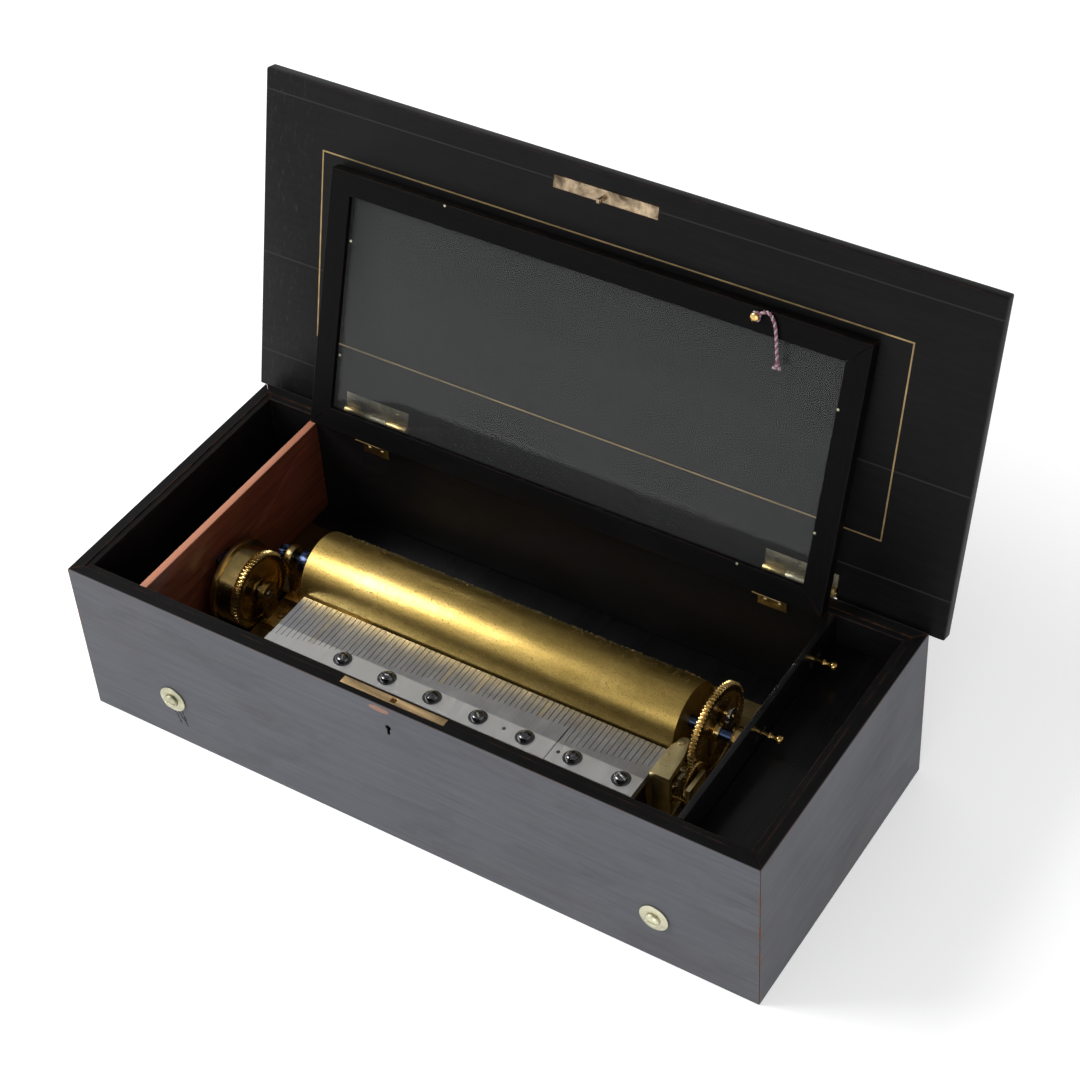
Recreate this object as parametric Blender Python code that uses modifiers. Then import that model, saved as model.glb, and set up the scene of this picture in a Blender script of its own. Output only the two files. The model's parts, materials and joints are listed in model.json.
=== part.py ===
"""Key-wound cylinder music box in an ebonised wooden case, modelled for Blender 4.5.

Metres, +Z up. +X runs along the case to the governor end, +Y to the lid hinges, and the origin is the
centre of the underside. The box stands open, as it does on show: the wooden lid leans back on its stop
hinges and the glass lid leans on it.
"""

import math

import bmesh
import bpy
from mathutils import Matrix, Vector

# Clearances and the overrun of every cutter
SEAT_GAP = 0.0003
RUNNING_GAP = 0.00035
OVERRUN = 0.001
WELD_DISTANCE = 0.000001
MERGE_DISTANCE = 0.00001

# Case
CASE_LENGTH = 0.500
CASE_DEPTH = 0.212
CASE_HEIGHT = 0.122
WALL_THICKNESS = 0.012
BOTTOM_THICKNESS = 0.009
RIM_STEP_WIDTH = 0.0045
RIM_STEP_DROP = 0.0008
CASE_EDGE_RADIUS = 0.0006

# Partitions and the floor of the control compartment
KEY_PARTITION_X = -0.202
KEY_PARTITION_THICKNESS = 0.005
KEY_PARTITION_DROP = 0.006
WINDING_HOLE_RADIUS = 0.0052
CONTROL_PARTITION_X = 0.192
CONTROL_PARTITION_THICKNESS = 0.004
CONTROL_PARTITION_DROP = 0.0006
CONTROL_FLOOR_DROP = 0.024
CONTROL_FLOOR_THICKNESS = 0.004
REAR_LEDGE_DEPTH = 0.0215
REAR_LEDGE_DROP = 0.0005

# Bedplate and its bolts
BED_TOP = 0.042
BED_THICKNESS = 0.007
BED_FRONT_GAP = 0.0005
BED_LEFT_GAP = 0.0015
BED_RIGHT_GAP = 0.0020
BED_EDGE_RADIUS = 0.0006
BOLT_OFFSET_X = 0.180
BOLT_SHANK_RADIUS = 0.0024
BOLT_HEAD_RADIUS = 0.0050
BOLT_HEAD_HEIGHT = 0.0026
BOLT_SLOT_WIDTH = 0.0012
BOLT_SLOT_DEPTH = 0.0011
BOLT_GRIP = 0.010
BOLT_HOLE_RADIUS = 0.0027
WASHER_RADIUS = 0.0098
WASHER_THICKNESS = 0.0016
WASHER_CROWN = 0.0007

# Lock
LOCK_X = -0.0021
LOCK_PLATE_LENGTH = 0.075
LOCK_PLATE_WIDTH = 0.0054
LOCK_PLATE_THICKNESS = 0.0022
LOCK_SETBACK = 0.0046
LOCK_BOX_LENGTH = 0.052
LOCK_BOX_HEIGHT = 0.038
LOCK_BOX_WALL = 0.0010
LOCK_CAVITY_HEIGHT = 0.0130
LOCK_BOLT_LENGTH = 0.030
LOCK_BOLT_HEIGHT = 0.0030
LOCK_BOLT_ARM = 0.0020
LOCK_PIN_SIDE = 0.0008
LOCK_PIN_REACH = 0.0064
LOCK_BOLT_REST_GAP = 0.0010
LOCK_PIN_GAP = 0.0005
LOCK_SLOT_LENGTH = 0.0042
LOCK_SLOT_WIDTH = 0.0036
LUG_THICKNESS = 0.0020
LUG_WIDTH = 0.0026
LUG_LENGTH = 0.0088
LUG_EYE_HEIGHT = 0.0034
LUG_EYE_WIDTH = 0.0014
KEYHOLE_X = -0.003
KEYHOLE_DROP = 0.0176
KEYHOLE_RADIUS = 0.0021
KEYHOLE_SLOT_WIDTH = 0.0022
KEYHOLE_SLOT_LENGTH = 0.0062
STRIKE_PLATE_LENGTH = 0.074
STRIKE_PLATE_WIDTH = 0.0084
STRIKE_PLATE_THICKNESS = 0.0012
STRIKE_PLATE_PROUD = 0.0002

# Lid
LID_THICKNESS = 0.009
LID_OVERHANG_SIDE = 0.0085
LID_OVERHANG_FRONT = 0.008
LID_LEAN_DEG = 13.75
LID_EDGE_RADIUS = 0.0012
LID_PIN_SETBACK = 0.0040
LID_CLOSED_GAP = 0.0004
LID_HINGE_OFFSET_X = 0.160
LID_HINGE_LENGTH = 0.050
LID_KNUCKLE_RADIUS = 0.0031
LID_PIN_RADIUS = 0.0013
LID_PIN_HEAD_HEIGHT = 0.0008
LID_LEAF_WIDTH = 0.0130
LID_LEAF_THICKNESS = 0.0011
LID_KNUCKLE_SHARE = 0.36

# Glass lid
GLASS_PIN_SETBACK = 0.0024
GLASS_PIN_DROP = 0.0025
GLASS_LEAN_DEG = 18.6
GLASS_FRAME_DEPTH = 0.180
GLASS_FRAME_SIDE_GAP = 0.0022
GLASS_FRAME_THICKNESS = 0.0090
GLASS_FRAME_PIN_GAP = 0.0023
GLASS_FRAME_PIN_DROP = 0.0080
GLASS_RAIL_WIDTH = 0.0155
GLASS_REBATE_WIDTH = 0.0040
GLASS_REBATE_DEPTH = 0.0055
GLASS_PANE_THICKNESS = 0.0020
GLASS_HINGE_OFFSET_X = 0.150
GLASS_HINGE_LENGTH = 0.020
GLASS_KNUCKLE_RADIUS = 0.0019
GLASS_HINGE_PIN_RADIUS = 0.0009
GLASS_LEAF_THICKNESS = 0.0007
GLASS_LEAF_HEIGHT = 0.0075
GLASS_CASE_LEAF_HEIGHT = 0.0120
GLASS_KNUCKLE_SHARE = 0.34
GLASS_SCREW_RADIUS = 0.0017
GLASS_SCREW_CROWN_RADIUS = 0.0009
GLASS_SCREW_HEIGHT = 0.0007
GLASS_SCREW_DROP = 0.0070
CORD_NAIL_X = 0.1125
CORD_DIAMETER = 0.0024
LOOP_SQUEEZE_SHARE = 0.96
CORD_KNOT_RADIUS = 0.0024
NAIL_HEAD_RADIUS = 0.0028
NAIL_HEAD_HEIGHT = 0.0014
NAIL_SHANK_RADIUS = 0.0009
NAIL_SHANK_LENGTH = 0.0062
NAIL_STAND_OFF = 0.0034
NAIL_CROWN_RADIUS = 0.0017
NAIL_SETBACK = 0.0054

# Cylinder, its arbor and the gears on it
CYLINDER_RADIUS = 0.0265
CYLINDER_LENGTH = 0.2796
CYLINDER_LEFT_X = -0.141
CYLINDER_AXIS_Y = 0.014
CYLINDER_AXIS_HEIGHT = 0.030
CYLINDER_SHELL_THICKNESS = 0.0012
CYLINDER_CAP_THICKNESS = 0.0030
CYLINDER_CAP_RECESS = 0.0015
CYLINDER_SHIFT_TRAVEL = 0.0020
ARBOR_RADIUS = 0.0038
ARBOR_COLLAR_RADIUS = 0.0078
ARBOR_COLLAR_LENGTH = 0.0085
ARBOR_PIVOT_RADIUS = 0.0026
GREAT_WHEEL_TEETH = 72
GREAT_WHEEL_MODULE = 0.00088
GREAT_WHEEL_THICKNESS = 0.0040
GREAT_WHEEL_CLEARANCE = 0.0116
GREAT_WHEEL_RIM_WIDTH = 0.0042
GREAT_WHEEL_WEB_THICKNESS = 0.0018
GREAT_WHEEL_HUB_RADIUS = 0.0068
GREAT_WHEEL_HUB_LENGTH = 0.0022
GREAT_WHEEL_HUB_SHARE = 0.9
GREAT_WHEEL_WELL_GAP = 0.0010
BARREL_PINION_TEETH = 12
PINION_BARREL_GAP = 0.0004
PINION_LAP = 0.0010
BARREL_WHEEL_TEETH = 60
BARREL_WHEEL_MODULE = 0.000875
SNAIL_STUD_RADIUS_FROM_AXIS = 0.0125
SNAIL_STUD_DEG = 40.0
SNAIL_RADIUS = 0.0080
SNAIL_LOW_SHARE = 0.62
SNAIL_STEPS = 8
SNAIL_STEP_SHARE = 0.94
SNAIL_THICKNESS = 0.0022
SNAIL_STUD_RADIUS = 0.0014
SNAIL_STAND_OFF = 0.0026

# Spring barrel, its arbor, ratchet and click
BARREL_DROP_DEG = 15.0
BARREL_BODY_RADIUS = 0.0268
BARREL_BEAD_RADIUS = 0.0300
BARREL_BEAD_WIDTH = 0.0030
BARREL_NECK_RADIUS = 0.0235
BARREL_NECK_INSET = 0.0006
BARREL_WHEEL_THICKNESS = 0.0042
BARREL_BODY_LENGTH = 0.0146
BARREL_CAP_RECESS_RADIUS = 0.0205
BARREL_CAP_HUB_RADIUS = 0.0078
BARREL_CAP_RECESS_DEPTH = 0.0012
WINDING_ARBOR_RADIUS = 0.0040
WINDING_PIVOT_RADIUS = 0.0030
WINDING_SQUARE_SIDE = 0.0050
WINDING_SQUARE_LENGTH = 0.0130
WINDING_REACH = 0.0060
RATCHET_TEETH = 16
RATCHET_RADIUS = 0.0125
RATCHET_TOOTH_SHARE = 0.82
RATCHET_THICKNESS = 0.0024
RATCHET_FACE_DEG = 1.5
RATCHET_SIDE_GAP = 0.0006
CLICK_ANGLE_DEG = 60.0
CLICK_NOSE_DEG = 3.5
CLICK_PIVOT_DEG = 25.0
CLICK_PIVOT_REACH = 0.0190
CLICK_BOSS_RADIUS = 0.0028
CLICK_NOSE_WIDTH = 0.0011
CLICK_STUD_RADIUS = 0.0013
CLICK_NOSE_GAP = 0.0012
CLICK_RIDE_DEG = 14.0
CLICK_SPRING_THICKNESS = 0.0007
CLICK_SPRING_WIDTH = 0.0016
CLICK_BOSS_OPEN_DEG = 70.0
CLICK_SPRING_LENGTH = 0.0110
CLICK_SPRING_GAP = 0.0006
CLICK_SPRING_FOOT = 0.0030
BRACKET_THICKNESS = 0.0040
BRACKET_HEAD_RADIUS = 0.0078
BRACKET_LEG_WIDTH = 0.0125
BRACKET_FOOT_LENGTH = 0.0120
BRACKET_FOOT_WIDTH = 0.0200
BRACKET_FOOT_THICKNESS = 0.0036
BRACKET_SPAN_GAP = 0.0006
PIVOT_REACH = 0.0009
PIVOT_CROWN_SHARE = 0.6
SCREW_CROWN_SHARE = 0.7
LEFT_BRACKET_X = -0.1939
LEFT_BRACKET_HEAD_RADIUS = 0.0225
LEFT_BRACKET_WIDTH = 0.036
RIGHT_BRACKET_X = -0.1668
BRIDGE_THICKNESS = 0.0050
BRIDGE_HEAD_RADIUS = 0.0085
BRIDGE_WAIST_WIDTH = 0.0140
BRIDGE_FOOT_LENGTH = 0.0130
RIGHT_BRIDGE_FOOT_LENGTH = 0.0080
BRIDGE_FOOT_WIDTH = 0.0300
BRIDGE_FOOT_THICKNESS = 0.0042
LEFT_BRIDGE_X = -0.1661
RIGHT_BRIDGE_X = 0.1700
FOOT_SCREW_RADIUS = 0.0028
FOOT_SCREW_HEIGHT = 0.0012
BARREL_POCKET_WIDTH = 0.0470

# Comb, in two sections on one base
COMB_TOP = 0.0302
COMB_TIP_GAP = 0.0014
COMB_TOOTH_PITCH = 0.00386
COMB_TOOTH_SLOT = 0.00045
COMB_BASS_TEETH = 55
COMB_TREBLE_TEETH = 16
COMB_LEFT_X = -0.1372
COMB_SECTION_GAP = 0.0005
COMB_DEPTH = 0.0440
COMB_TOOTH_THICKNESS = 0.0018
COMB_HEEL_THICKNESS = 0.0056
COMB_HEEL_RISE = 0.0005
COMB_BASS_TOOTH_LENGTH = 0.0375
COMB_BASS_SHORT_TOOTH_LENGTH = 0.0145
COMB_BASS_CURVE_POWER = 1.5
COMB_TREBLE_TOOTH_LENGTH = 0.0265
COMB_TREBLE_SHORT_TOOTH_LENGTH = 0.0175
COMB_SCREW_COUNT = 7
COMB_SCREW_PITCH = 0.0343
COMB_FIRST_SCREW_X = -0.0817
COMB_SCREW_INSET = 0.0094
COMB_DOWEL_RADIUS = 0.0013
COMB_DOWEL_SETBACK = 0.0032
COMB_SCREW_RADIUS = 0.0043
COMB_SCREW_HEIGHT = 0.0026
COMB_SCREW_RIM_HEIGHT = 0.0008
COMB_DOME_SHARE = 0.72
COMB_BASE_DEPTH = 0.0180
COMB_BASE_RECESS = 0.0012
COMB_HEEL_POINT_EVERY = 6
COMB_SLOT_DEPTH_PAST_ROOT = 0.0009

# Governor
GOVERNOR_WIDTH = 0.0135
GOVERNOR_LEFT_X = 0.1394
GOVERNOR_FRONT_Y = -0.0405
GOVERNOR_REAR_Y = -0.0060
GOVERNOR_NECK_Y = -0.0200
GOVERNOR_NECK_WIDTH = 0.0120
GOVERNOR_REAR_LEFT = 0.0028
GOVERNOR_REAR_RIGHT = 0.0090
GOVERNOR_TOP = 0.0380
GOVERNOR_TOP_THICKNESS = 0.0050
GOVERNOR_COLUMN_DEPTH = 0.0042
GOVERNOR_CHEEK_THICKNESS = 0.0024
GOVERNOR_FOOT_THICKNESS = 0.0030
GOVERNOR_FOOT_REAR_Y = -0.0120
GOVERNOR_LEFT_CHEEK_TOP = 0.0200
GOVERNOR_RIGHT_CHEEK_TOP = 0.0216
GOVERNOR_RIGHT_CHEEK_X = 0.0098
GOVERNOR_CORNER_RADIUS = 0.0022
GOVERNOR_CORNER_STEPS = 4
GOVERNOR_SCREW_RADIUS = 0.0030
GOVERNOR_SCREW_SETBACK = 0.0052
GOVERNOR_EDGE_CHAMFER = 0.0008
GOVERNOR_PIECE_INSET = 0.0006
SIDE_PLATE_X = 0.1615
SIDE_PLATE_THICKNESS = 0.0030
SIDE_PLATE_TOP = 0.0260
SIDE_PLATE_MARGIN = 0.0055
SIDE_PLATE_FOOT_LENGTH = 0.0060
SIDE_PLATE_FOOT_INSET = 0.0010
FIRST_PINION_TEETH = 8
FIRST_WHEEL_TEETH = 48
FIRST_WHEEL_MODULE = 0.00050
FIRST_WHEEL_THICKNESS = 0.0014
FIRST_WHEEL_GAP = 0.0009
FIRST_DROP_DEG = 18.0
SECOND_PINION_TEETH = 8
SECOND_WHEEL_TEETH = 30
SECOND_WHEEL_MODULE = 0.00040
SECOND_WHEEL_THICKNESS = 0.0020
SECOND_DROP_DEG = 50.0
TRAIN_ARBOR_RADIUS = 0.0011
TRAIN_PIVOT_RADIUS = 0.0007
WORM_RADIUS = 0.0014
WORM_THROW = 0.0004
WORM_LENGTH = 0.0070
WORM_SIDES = 5
WORM_STEPS_PER_TURN = 5
WORM_MESH_GAP = 0.00045
FLY_SPINDLE_RADIUS = 0.0008
FLY_VANE_RADIUS = 0.0056
FLY_VANE_HEIGHT = 0.0080
FLY_VANE_THICKNESS = 0.0007
FLY_VANE_DROP = 0.0025
FLY_HUB_RADIUS = 0.0013
FLY_HUB_LENGTH = 0.0101
FLY_REST_DEG = 25.0
FLY_PIVOT_RADIUS = 0.0005
FLY_PIVOT_LENGTH = 0.0010

# Control levers
LEVER_PIVOT_HEIGHT = 0.020
LEVER_THICKNESS = 0.0022
LEVER_BOSS_RADIUS = 0.0050
LEVER_TOP_RADIUS = 0.0030
LEVER_X = 0.1862
LEVER_POST_LENGTH = 0.0030
LEVER_POST_WIDTH = 0.0080
LEVER_POST_GAP = 0.0006
LEVER_KNOB_DROP = 0.0150
LEVER_ROD_RADIUS = 0.0014
LEVER_KNOB_X = 0.2062
LEVER_COLLAR_X = 0.2008
LEVER_KNOB_RADIUS = 0.0032
LEVER_COLLAR_RADIUS = 0.0026
LEVER_COLLAR_LENGTH = 0.0018
LEVER_STUD_RADIUS = 0.0018
START_LEVER_Y = -0.002
TUNE_LEVER_Y = 0.067
LEVER_SWING_DEG = 6.0
LEVER_SLOT_HEIGHT = 0.0042
LEVER_SLOT_GAP = 0.0010

# Counts of facets
CYLINDER_STEPS = 48
ROUND_STEPS = 40
RECESS_STEPS = 24
SMALL_STEPS = 16
KNUCKLE_STEPS = 14
TINY_STEPS = 10
LOOP_STEPS = 12
TUBE_STEPS = 8
SMOOTH_DEG = 40.0
BEVEL_DEG = 60.0

# Worked out from the sizes above
INNER_X = CASE_LENGTH / 2 - WALL_THICKNESS
INNER_Y = CASE_DEPTH / 2 - WALL_THICKNESS
KEY_WALL_LEFT = KEY_PARTITION_X - KEY_PARTITION_THICKNESS / 2
KEY_WALL_RIGHT = KEY_PARTITION_X + KEY_PARTITION_THICKNESS / 2
CONTROL_WALL_LEFT = CONTROL_PARTITION_X - CONTROL_PARTITION_THICKNESS / 2
CONTROL_WALL_RIGHT = CONTROL_PARTITION_X + CONTROL_PARTITION_THICKNESS / 2
BED_BOTTOM = BED_TOP - BED_THICKNESS
BED_MIDDLE = BED_TOP - BED_THICKNESS / 2
BED_FRONT_Y = -INNER_Y + BED_FRONT_GAP
BED_REAR_Y = INNER_Y - REAR_LEDGE_DEPTH - SEAT_GAP
BED_SEAT = BED_TOP + SEAT_GAP
AXIS_Y = CYLINDER_AXIS_Y
AXIS_Z = BED_TOP + CYLINDER_AXIS_HEIGHT
CYLINDER_RIGHT_X = CYLINDER_LEFT_X + CYLINDER_LENGTH
GREAT_WHEEL_LEFT_X = CYLINDER_RIGHT_X + CYLINDER_SHIFT_TRAVEL + GREAT_WHEEL_CLEARANCE
GREAT_WHEEL_RIGHT_X = GREAT_WHEEL_LEFT_X + GREAT_WHEEL_THICKNESS
LID_PIN_Y = CASE_DEPTH / 2 + LID_PIN_SETBACK
LID_PIN_Z = CASE_HEIGHT
GLASS_PIN_Y = INNER_Y - GLASS_PIN_SETBACK
GLASS_PIN_Z = CASE_HEIGHT - GLASS_PIN_DROP
RIGHT_ANGLE = math.pi / 2


def clear_scene():
    for old in list(bpy.data.objects):
        bpy.data.objects.remove(old, do_unlink=True)


def make_collection(name):
    collection = bpy.data.collections.new(name)
    bpy.context.scene.collection.children.link(collection)
    return collection


clear_scene()
PARTS = make_collection("cylinder_music_box")
CUTTERS = make_collection("cutters")


def finish(name, colour, roughness, metallic=0.0, alpha=1.0):
    material = bpy.data.materials.new(name)
    material.use_nodes = True
    shader = material.node_tree.nodes["Principled BSDF"]
    shader.inputs["Base Color"].default_value = (*colour, 1.0)
    shader.inputs["Roughness"].default_value = roughness
    shader.inputs["Metallic"].default_value = metallic
    shader.inputs["Alpha"].default_value = alpha
    return material


EBONY = finish("ebonised_wood", (0.020, 0.019, 0.021), 0.38)
BLACK_INSIDE = finish("black_inside", (0.010, 0.010, 0.012), 0.30)
MAHOGANY = finish("varnished_mahogany", (0.32, 0.075, 0.030), 0.25)
BRASS = finish("lacquered_brass", (0.72, 0.48, 0.16), 0.28, 1.0)
PALE_BRASS = finish("aged_brass", (0.55, 0.50, 0.36), 0.45, 1.0)
STEEL = finish("comb_steel", (0.46, 0.46, 0.46), 0.38, 1.0)
POLISHED_STEEL = finish("polished_steel", (0.60, 0.60, 0.62), 0.20, 1.0)
BLUED_STEEL = finish("blued_steel", (0.05, 0.07, 0.13), 0.25, 1.0)
IRON = finish("comb_base_iron", (0.10, 0.10, 0.10), 0.55, 1.0)
GLASS = finish("pane_glass", (0.95, 0.97, 0.97), 0.02, 0.0, 0.25)
CORD = finish("twisted_cord", (0.62, 0.40, 0.44), 0.85)


def put(name, mesh, material, matrix=None, cutter=False):
    """Links a new object. A cutter or a helper is hidden from renders."""
    obj = bpy.data.objects.new(name, mesh)
    (CUTTERS if cutter else PARTS).objects.link(obj)
    if material is not None:
        mesh.materials.append(material)
    if matrix is not None:
        obj.matrix_world = matrix
    if cutter:
        obj.hide_render = True
        obj.display_type = "WIRE"
    return obj


def finished_mesh(name, shape, smooth_deg=None):
    bmesh.ops.recalc_face_normals(shape, faces=shape.faces)
    mesh = bpy.data.meshes.new(name)
    shape.to_mesh(mesh)
    shape.free()
    if smooth_deg is not None:
        mesh.shade_smooth()
        mesh.set_sharp_from_angle(angle=math.radians(smooth_deg))
    return mesh


def box(name, low, high, material=None, cutter=False):
    """A block between two corners, with its origin at its centre."""
    low, high = Vector(low), Vector(high)
    shape = bmesh.new()
    bmesh.ops.create_cube(shape, size=1.0)
    bmesh.ops.scale(shape, vec=high - low, verts=shape.verts)
    return put(name, finished_mesh(name, shape), material, Matrix.Translation((low + high) / 2), cutter)


def soften(obj, width, segments):
    """Rounds or chamfers the square edges of a piece with a Bevel modifier."""
    bevel = obj.modifiers.new("softened_edges", "BEVEL")
    bevel.width = width
    bevel.segments = segments
    bevel.limit_method = "ANGLE"
    bevel.angle_limit = math.radians(BEVEL_DEG)
    return obj


def frame_along(axis, at):
    """A matrix whose local Z lies along a world axis, and whose local X lies along world Y for axis X."""
    turns = {
        "X": Matrix.Rotation(RIGHT_ANGLE, 4, "Z") @ Matrix.Rotation(RIGHT_ANGLE, 4, "X"),
        "Y": Matrix.Rotation(-RIGHT_ANGLE, 4, "X"),
        "Z": Matrix.Identity(4),
    }
    return Matrix.Translation(Vector(at)) @ turns[axis]


def rod(name, axis, at, length, radius, material=None, steps=SMALL_STEPS, cutter=False, end_radius=None):
    """A round bar that starts at a point and runs along a world axis."""
    shape = bmesh.new()
    bmesh.ops.create_cone(
        shape,
        cap_ends=True,
        segments=steps,
        radius1=radius,
        radius2=radius if end_radius is None else end_radius,
        depth=length,
    )
    bmesh.ops.translate(shape, vec=(0, 0, length / 2), verts=shape.verts)
    return put(name, finished_mesh(name, shape, SMOOTH_DEG), material, frame_along(axis, at), cutter)


def turned(name, axis, at, profile, material=None, steps=ROUND_STEPS, cutter=False):
    """A turned piece: a closed profile of (radius, place along the axis), swept by a Screw modifier.

    The profile is put in the order that runs down its outer side, so that its faces point outwards.
    """
    pairs = zip(profile, profile[1:] + profile[:1])
    if sum(here[0] * there[1] - there[0] * here[1] for here, there in pairs) > 0:
        profile = profile[::-1]
    shape = bmesh.new()
    points = [shape.verts.new((radius, 0, along)) for radius, along in profile]
    for first, second in zip(points, points[1:] + points[:1]):
        if first.co.x or second.co.x:
            shape.edges.new((first, second))
    mesh = bpy.data.meshes.new(name)
    shape.to_mesh(mesh)
    shape.free()
    obj = put(name, mesh, material, frame_along(axis, at), cutter)
    screw = obj.modifiers.new("turned", "SCREW")
    screw.axis = "Z"
    screw.steps = steps
    screw.render_steps = steps
    screw.use_merge_vertices = True
    screw.merge_threshold = MERGE_DISTANCE
    screw.use_smooth_shade = False
    return obj


def plate(name, axis, at, outlines, thickness, material=None, cutter=False):
    """A flat plate: a 2D curve with holes, extruded both ways from its middle plane."""
    curve = bpy.data.curves.new(name, "CURVE")
    curve.dimensions = "2D"
    curve.fill_mode = "BOTH"
    curve.extrude = thickness / 2
    for outline in outlines:
        spline = curve.splines.new("POLY")
        spline.points.add(len(outline) - 1)
        for point, (across, up) in zip(spline.points, outline):
            point.co = (across, up, 0, 1)
        spline.use_cyclic_u = True
    return put(name, curve, material, frame_along(axis, at), cutter)


def as_mesh(obj):
    """A mesh object in the place of a curve or a modified object, with its caps welded."""
    bpy.context.view_layer.update()
    graph = bpy.context.evaluated_depsgraph_get()
    mesh = bpy.data.meshes.new_from_object(obj.evaluated_get(graph))
    shape = bmesh.new()
    shape.from_mesh(mesh)
    bmesh.ops.remove_doubles(shape, verts=shape.verts, dist=WELD_DISTANCE)
    bmesh.ops.recalc_face_normals(shape, faces=shape.faces)
    shape.to_mesh(mesh)
    shape.free()
    name, matrix, hidden, home = obj.name, obj.matrix_world.copy(), obj.hide_render, obj.users_collection[0]
    bpy.data.objects.remove(obj, do_unlink=True)
    made = bpy.data.objects.new(name, mesh)
    home.objects.link(made)
    made.matrix_world = matrix
    made.hide_render = hidden
    if hidden:
        made.display_type = "WIRE"
    return made


def combine(obj, operation, *helpers):
    for helper in helpers:
        if helper.type == "CURVE":
            helper = as_mesh(helper)
        helper.hide_render = True
        helper.display_type = "WIRE"
        if helper.parent is None:
            helper.parent = obj
            helper.matrix_parent_inverse = obj.matrix_basis.inverted()
        step = obj.modifiers.new(helper.name, "BOOLEAN")
        step.operation = operation
        step.solver = "EXACT"
        step.object = helper
    return obj


def cut(obj, *cutters):
    return combine(obj, "DIFFERENCE", *cutters)


def join(obj, *helpers):
    return combine(obj, "UNION", *helpers)


def circle(radius, steps=SMALL_STEPS, centre=(0, 0)):
    turn = 2 * math.pi / steps
    return [
        (centre[0] + radius * math.cos(turn * i), centre[1] + radius * math.sin(turn * i))
        for i in range(steps)
    ]


def arc(centre, radius, start_deg, end_deg, steps):
    points = []
    for i in range(steps + 1):
        angle = math.radians(start_deg + (end_deg - start_deg) * i / steps)
        points.append((centre[0] + radius * math.cos(angle), centre[1] + radius * math.sin(angle)))
    return points


def pitch_radius(teeth, module):
    return teeth * module / 2


TOOTH_ADDENDUM_SHARE = 0.90
TOOTH_DEDENDUM_SHARE = 1.25
TOOTH_ROOT_WIDTH_SHARE = 0.66
TOOTH_TIP_WIDTH_SHARE = 0.24


def gear_outline(teeth, module, turn=0.0):
    """A clock wheel or pinion with straight-sided teeth, one of them centred on the angle turn.

    The finest teeth come to a point.
    """
    pitch = pitch_radius(teeth, module)
    root = pitch - TOOTH_DEDENDUM_SHARE * module
    tip = pitch + TOOTH_ADDENDUM_SHARE * module
    half_root = math.pi / teeth * TOOTH_ROOT_WIDTH_SHARE
    half_tip = math.pi / teeth * TOOTH_TIP_WIDTH_SHARE
    points = []
    corners = ((root, -half_root), (tip, -half_tip), (tip, half_tip), (root, half_root))
    if module <= FIRST_WHEEL_MODULE:
        corners = ((root, -half_root), (tip, 0), (root, half_root))
    for tooth in range(teeth):
        middle = turn + 2 * math.pi * tooth / teeth
        for radius, aside in corners:
            angle = middle + aside
            points.append((radius * math.cos(angle), radius * math.sin(angle)))
    return points


def direction(drop_deg):
    """The unit vector in the YZ plane that points to the front and drop_deg below the horizontal."""
    return (-math.cos(math.radians(drop_deg)), -math.sin(math.radians(drop_deg)))


def angle_of(drop_deg):
    return math.pi + math.radians(drop_deg)


def offset(point, drop_deg, distance):
    way = direction(drop_deg)
    return (point[0] + way[0] * distance, point[1] + way[1] * distance)


AXIS = (AXIS_Y, AXIS_Z)
BARREL_DISTANCE = pitch_radius(BARREL_PINION_TEETH + BARREL_WHEEL_TEETH, BARREL_WHEEL_MODULE)
BARREL_AXIS = offset(AXIS, BARREL_DROP_DEG, BARREL_DISTANCE)
FIRST_DISTANCE = pitch_radius(GREAT_WHEEL_TEETH + FIRST_PINION_TEETH, GREAT_WHEEL_MODULE)
FIRST_AXIS = offset(AXIS, FIRST_DROP_DEG, FIRST_DISTANCE)
SECOND_DISTANCE = pitch_radius(FIRST_WHEEL_TEETH + SECOND_PINION_TEETH, FIRST_WHEEL_MODULE)
SECOND_AXIS = offset(FIRST_AXIS, SECOND_DROP_DEG, SECOND_DISTANCE)
SECOND_TIP_RADIUS = pitch_radius(SECOND_WHEEL_TEETH, SECOND_WHEEL_MODULE)
SECOND_TIP_RADIUS += TOOTH_ADDENDUM_SHARE * SECOND_WHEEL_MODULE
FLY_Y = SECOND_AXIS[0] + SECOND_TIP_RADIUS + WORM_RADIUS + WORM_THROW + WORM_MESH_GAP
FLY_X = GOVERNOR_LEFT_X + GOVERNOR_WIDTH / 2


def at_yz(x, point):
    return (x, point[0], point[1])


# The case: four mitred boards, each swept from one profile of (distance in, height)
def eased(outline, radius, corners):
    """The outline with the listed corners rounded in three points."""
    points = []
    for index, corner in enumerate(outline):
        if index not in corners:
            points.append(tuple(corner))
            continue
        here = Vector(corner)
        before = (Vector(outline[index - 1]) - here).normalized() * radius
        after = (Vector(outline[(index + 1) % len(outline)]) - here).normalized() * radius
        middle = here + (before + after) * (1 - math.sqrt(0.5))
        points += [tuple(here + before), tuple(middle), tuple(here + after)]
    return points


def mitred(name, length, profile, matrix, material, gap=SEAT_GAP):
    """A board or rail along local X with mitred ends.

    The profile holds (distance in from the outer face, height).
    """
    bar = as_mesh(plate(name, "X", (0, 0, 0), [profile], length, material))
    for vertex in bar.data.vertices:
        along = bar.matrix_world @ vertex.co
        end = length / 2 - along.y - gap * math.sqrt(0.5)
        side = 1 if along.x > 0 else -1
        vertex.co = matrix @ Vector((side * end, along.y, along.z))
    bar.matrix_world = Matrix.Identity(4)
    return bar


def side_matrix(half_length, half_depth, turn_deg):
    turn = Matrix.Rotation(math.radians(turn_deg), 4, "Z")
    reach = half_depth if turn_deg in (0, 180) else half_length
    return turn @ Matrix.Translation((0, -reach, 0))


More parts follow.
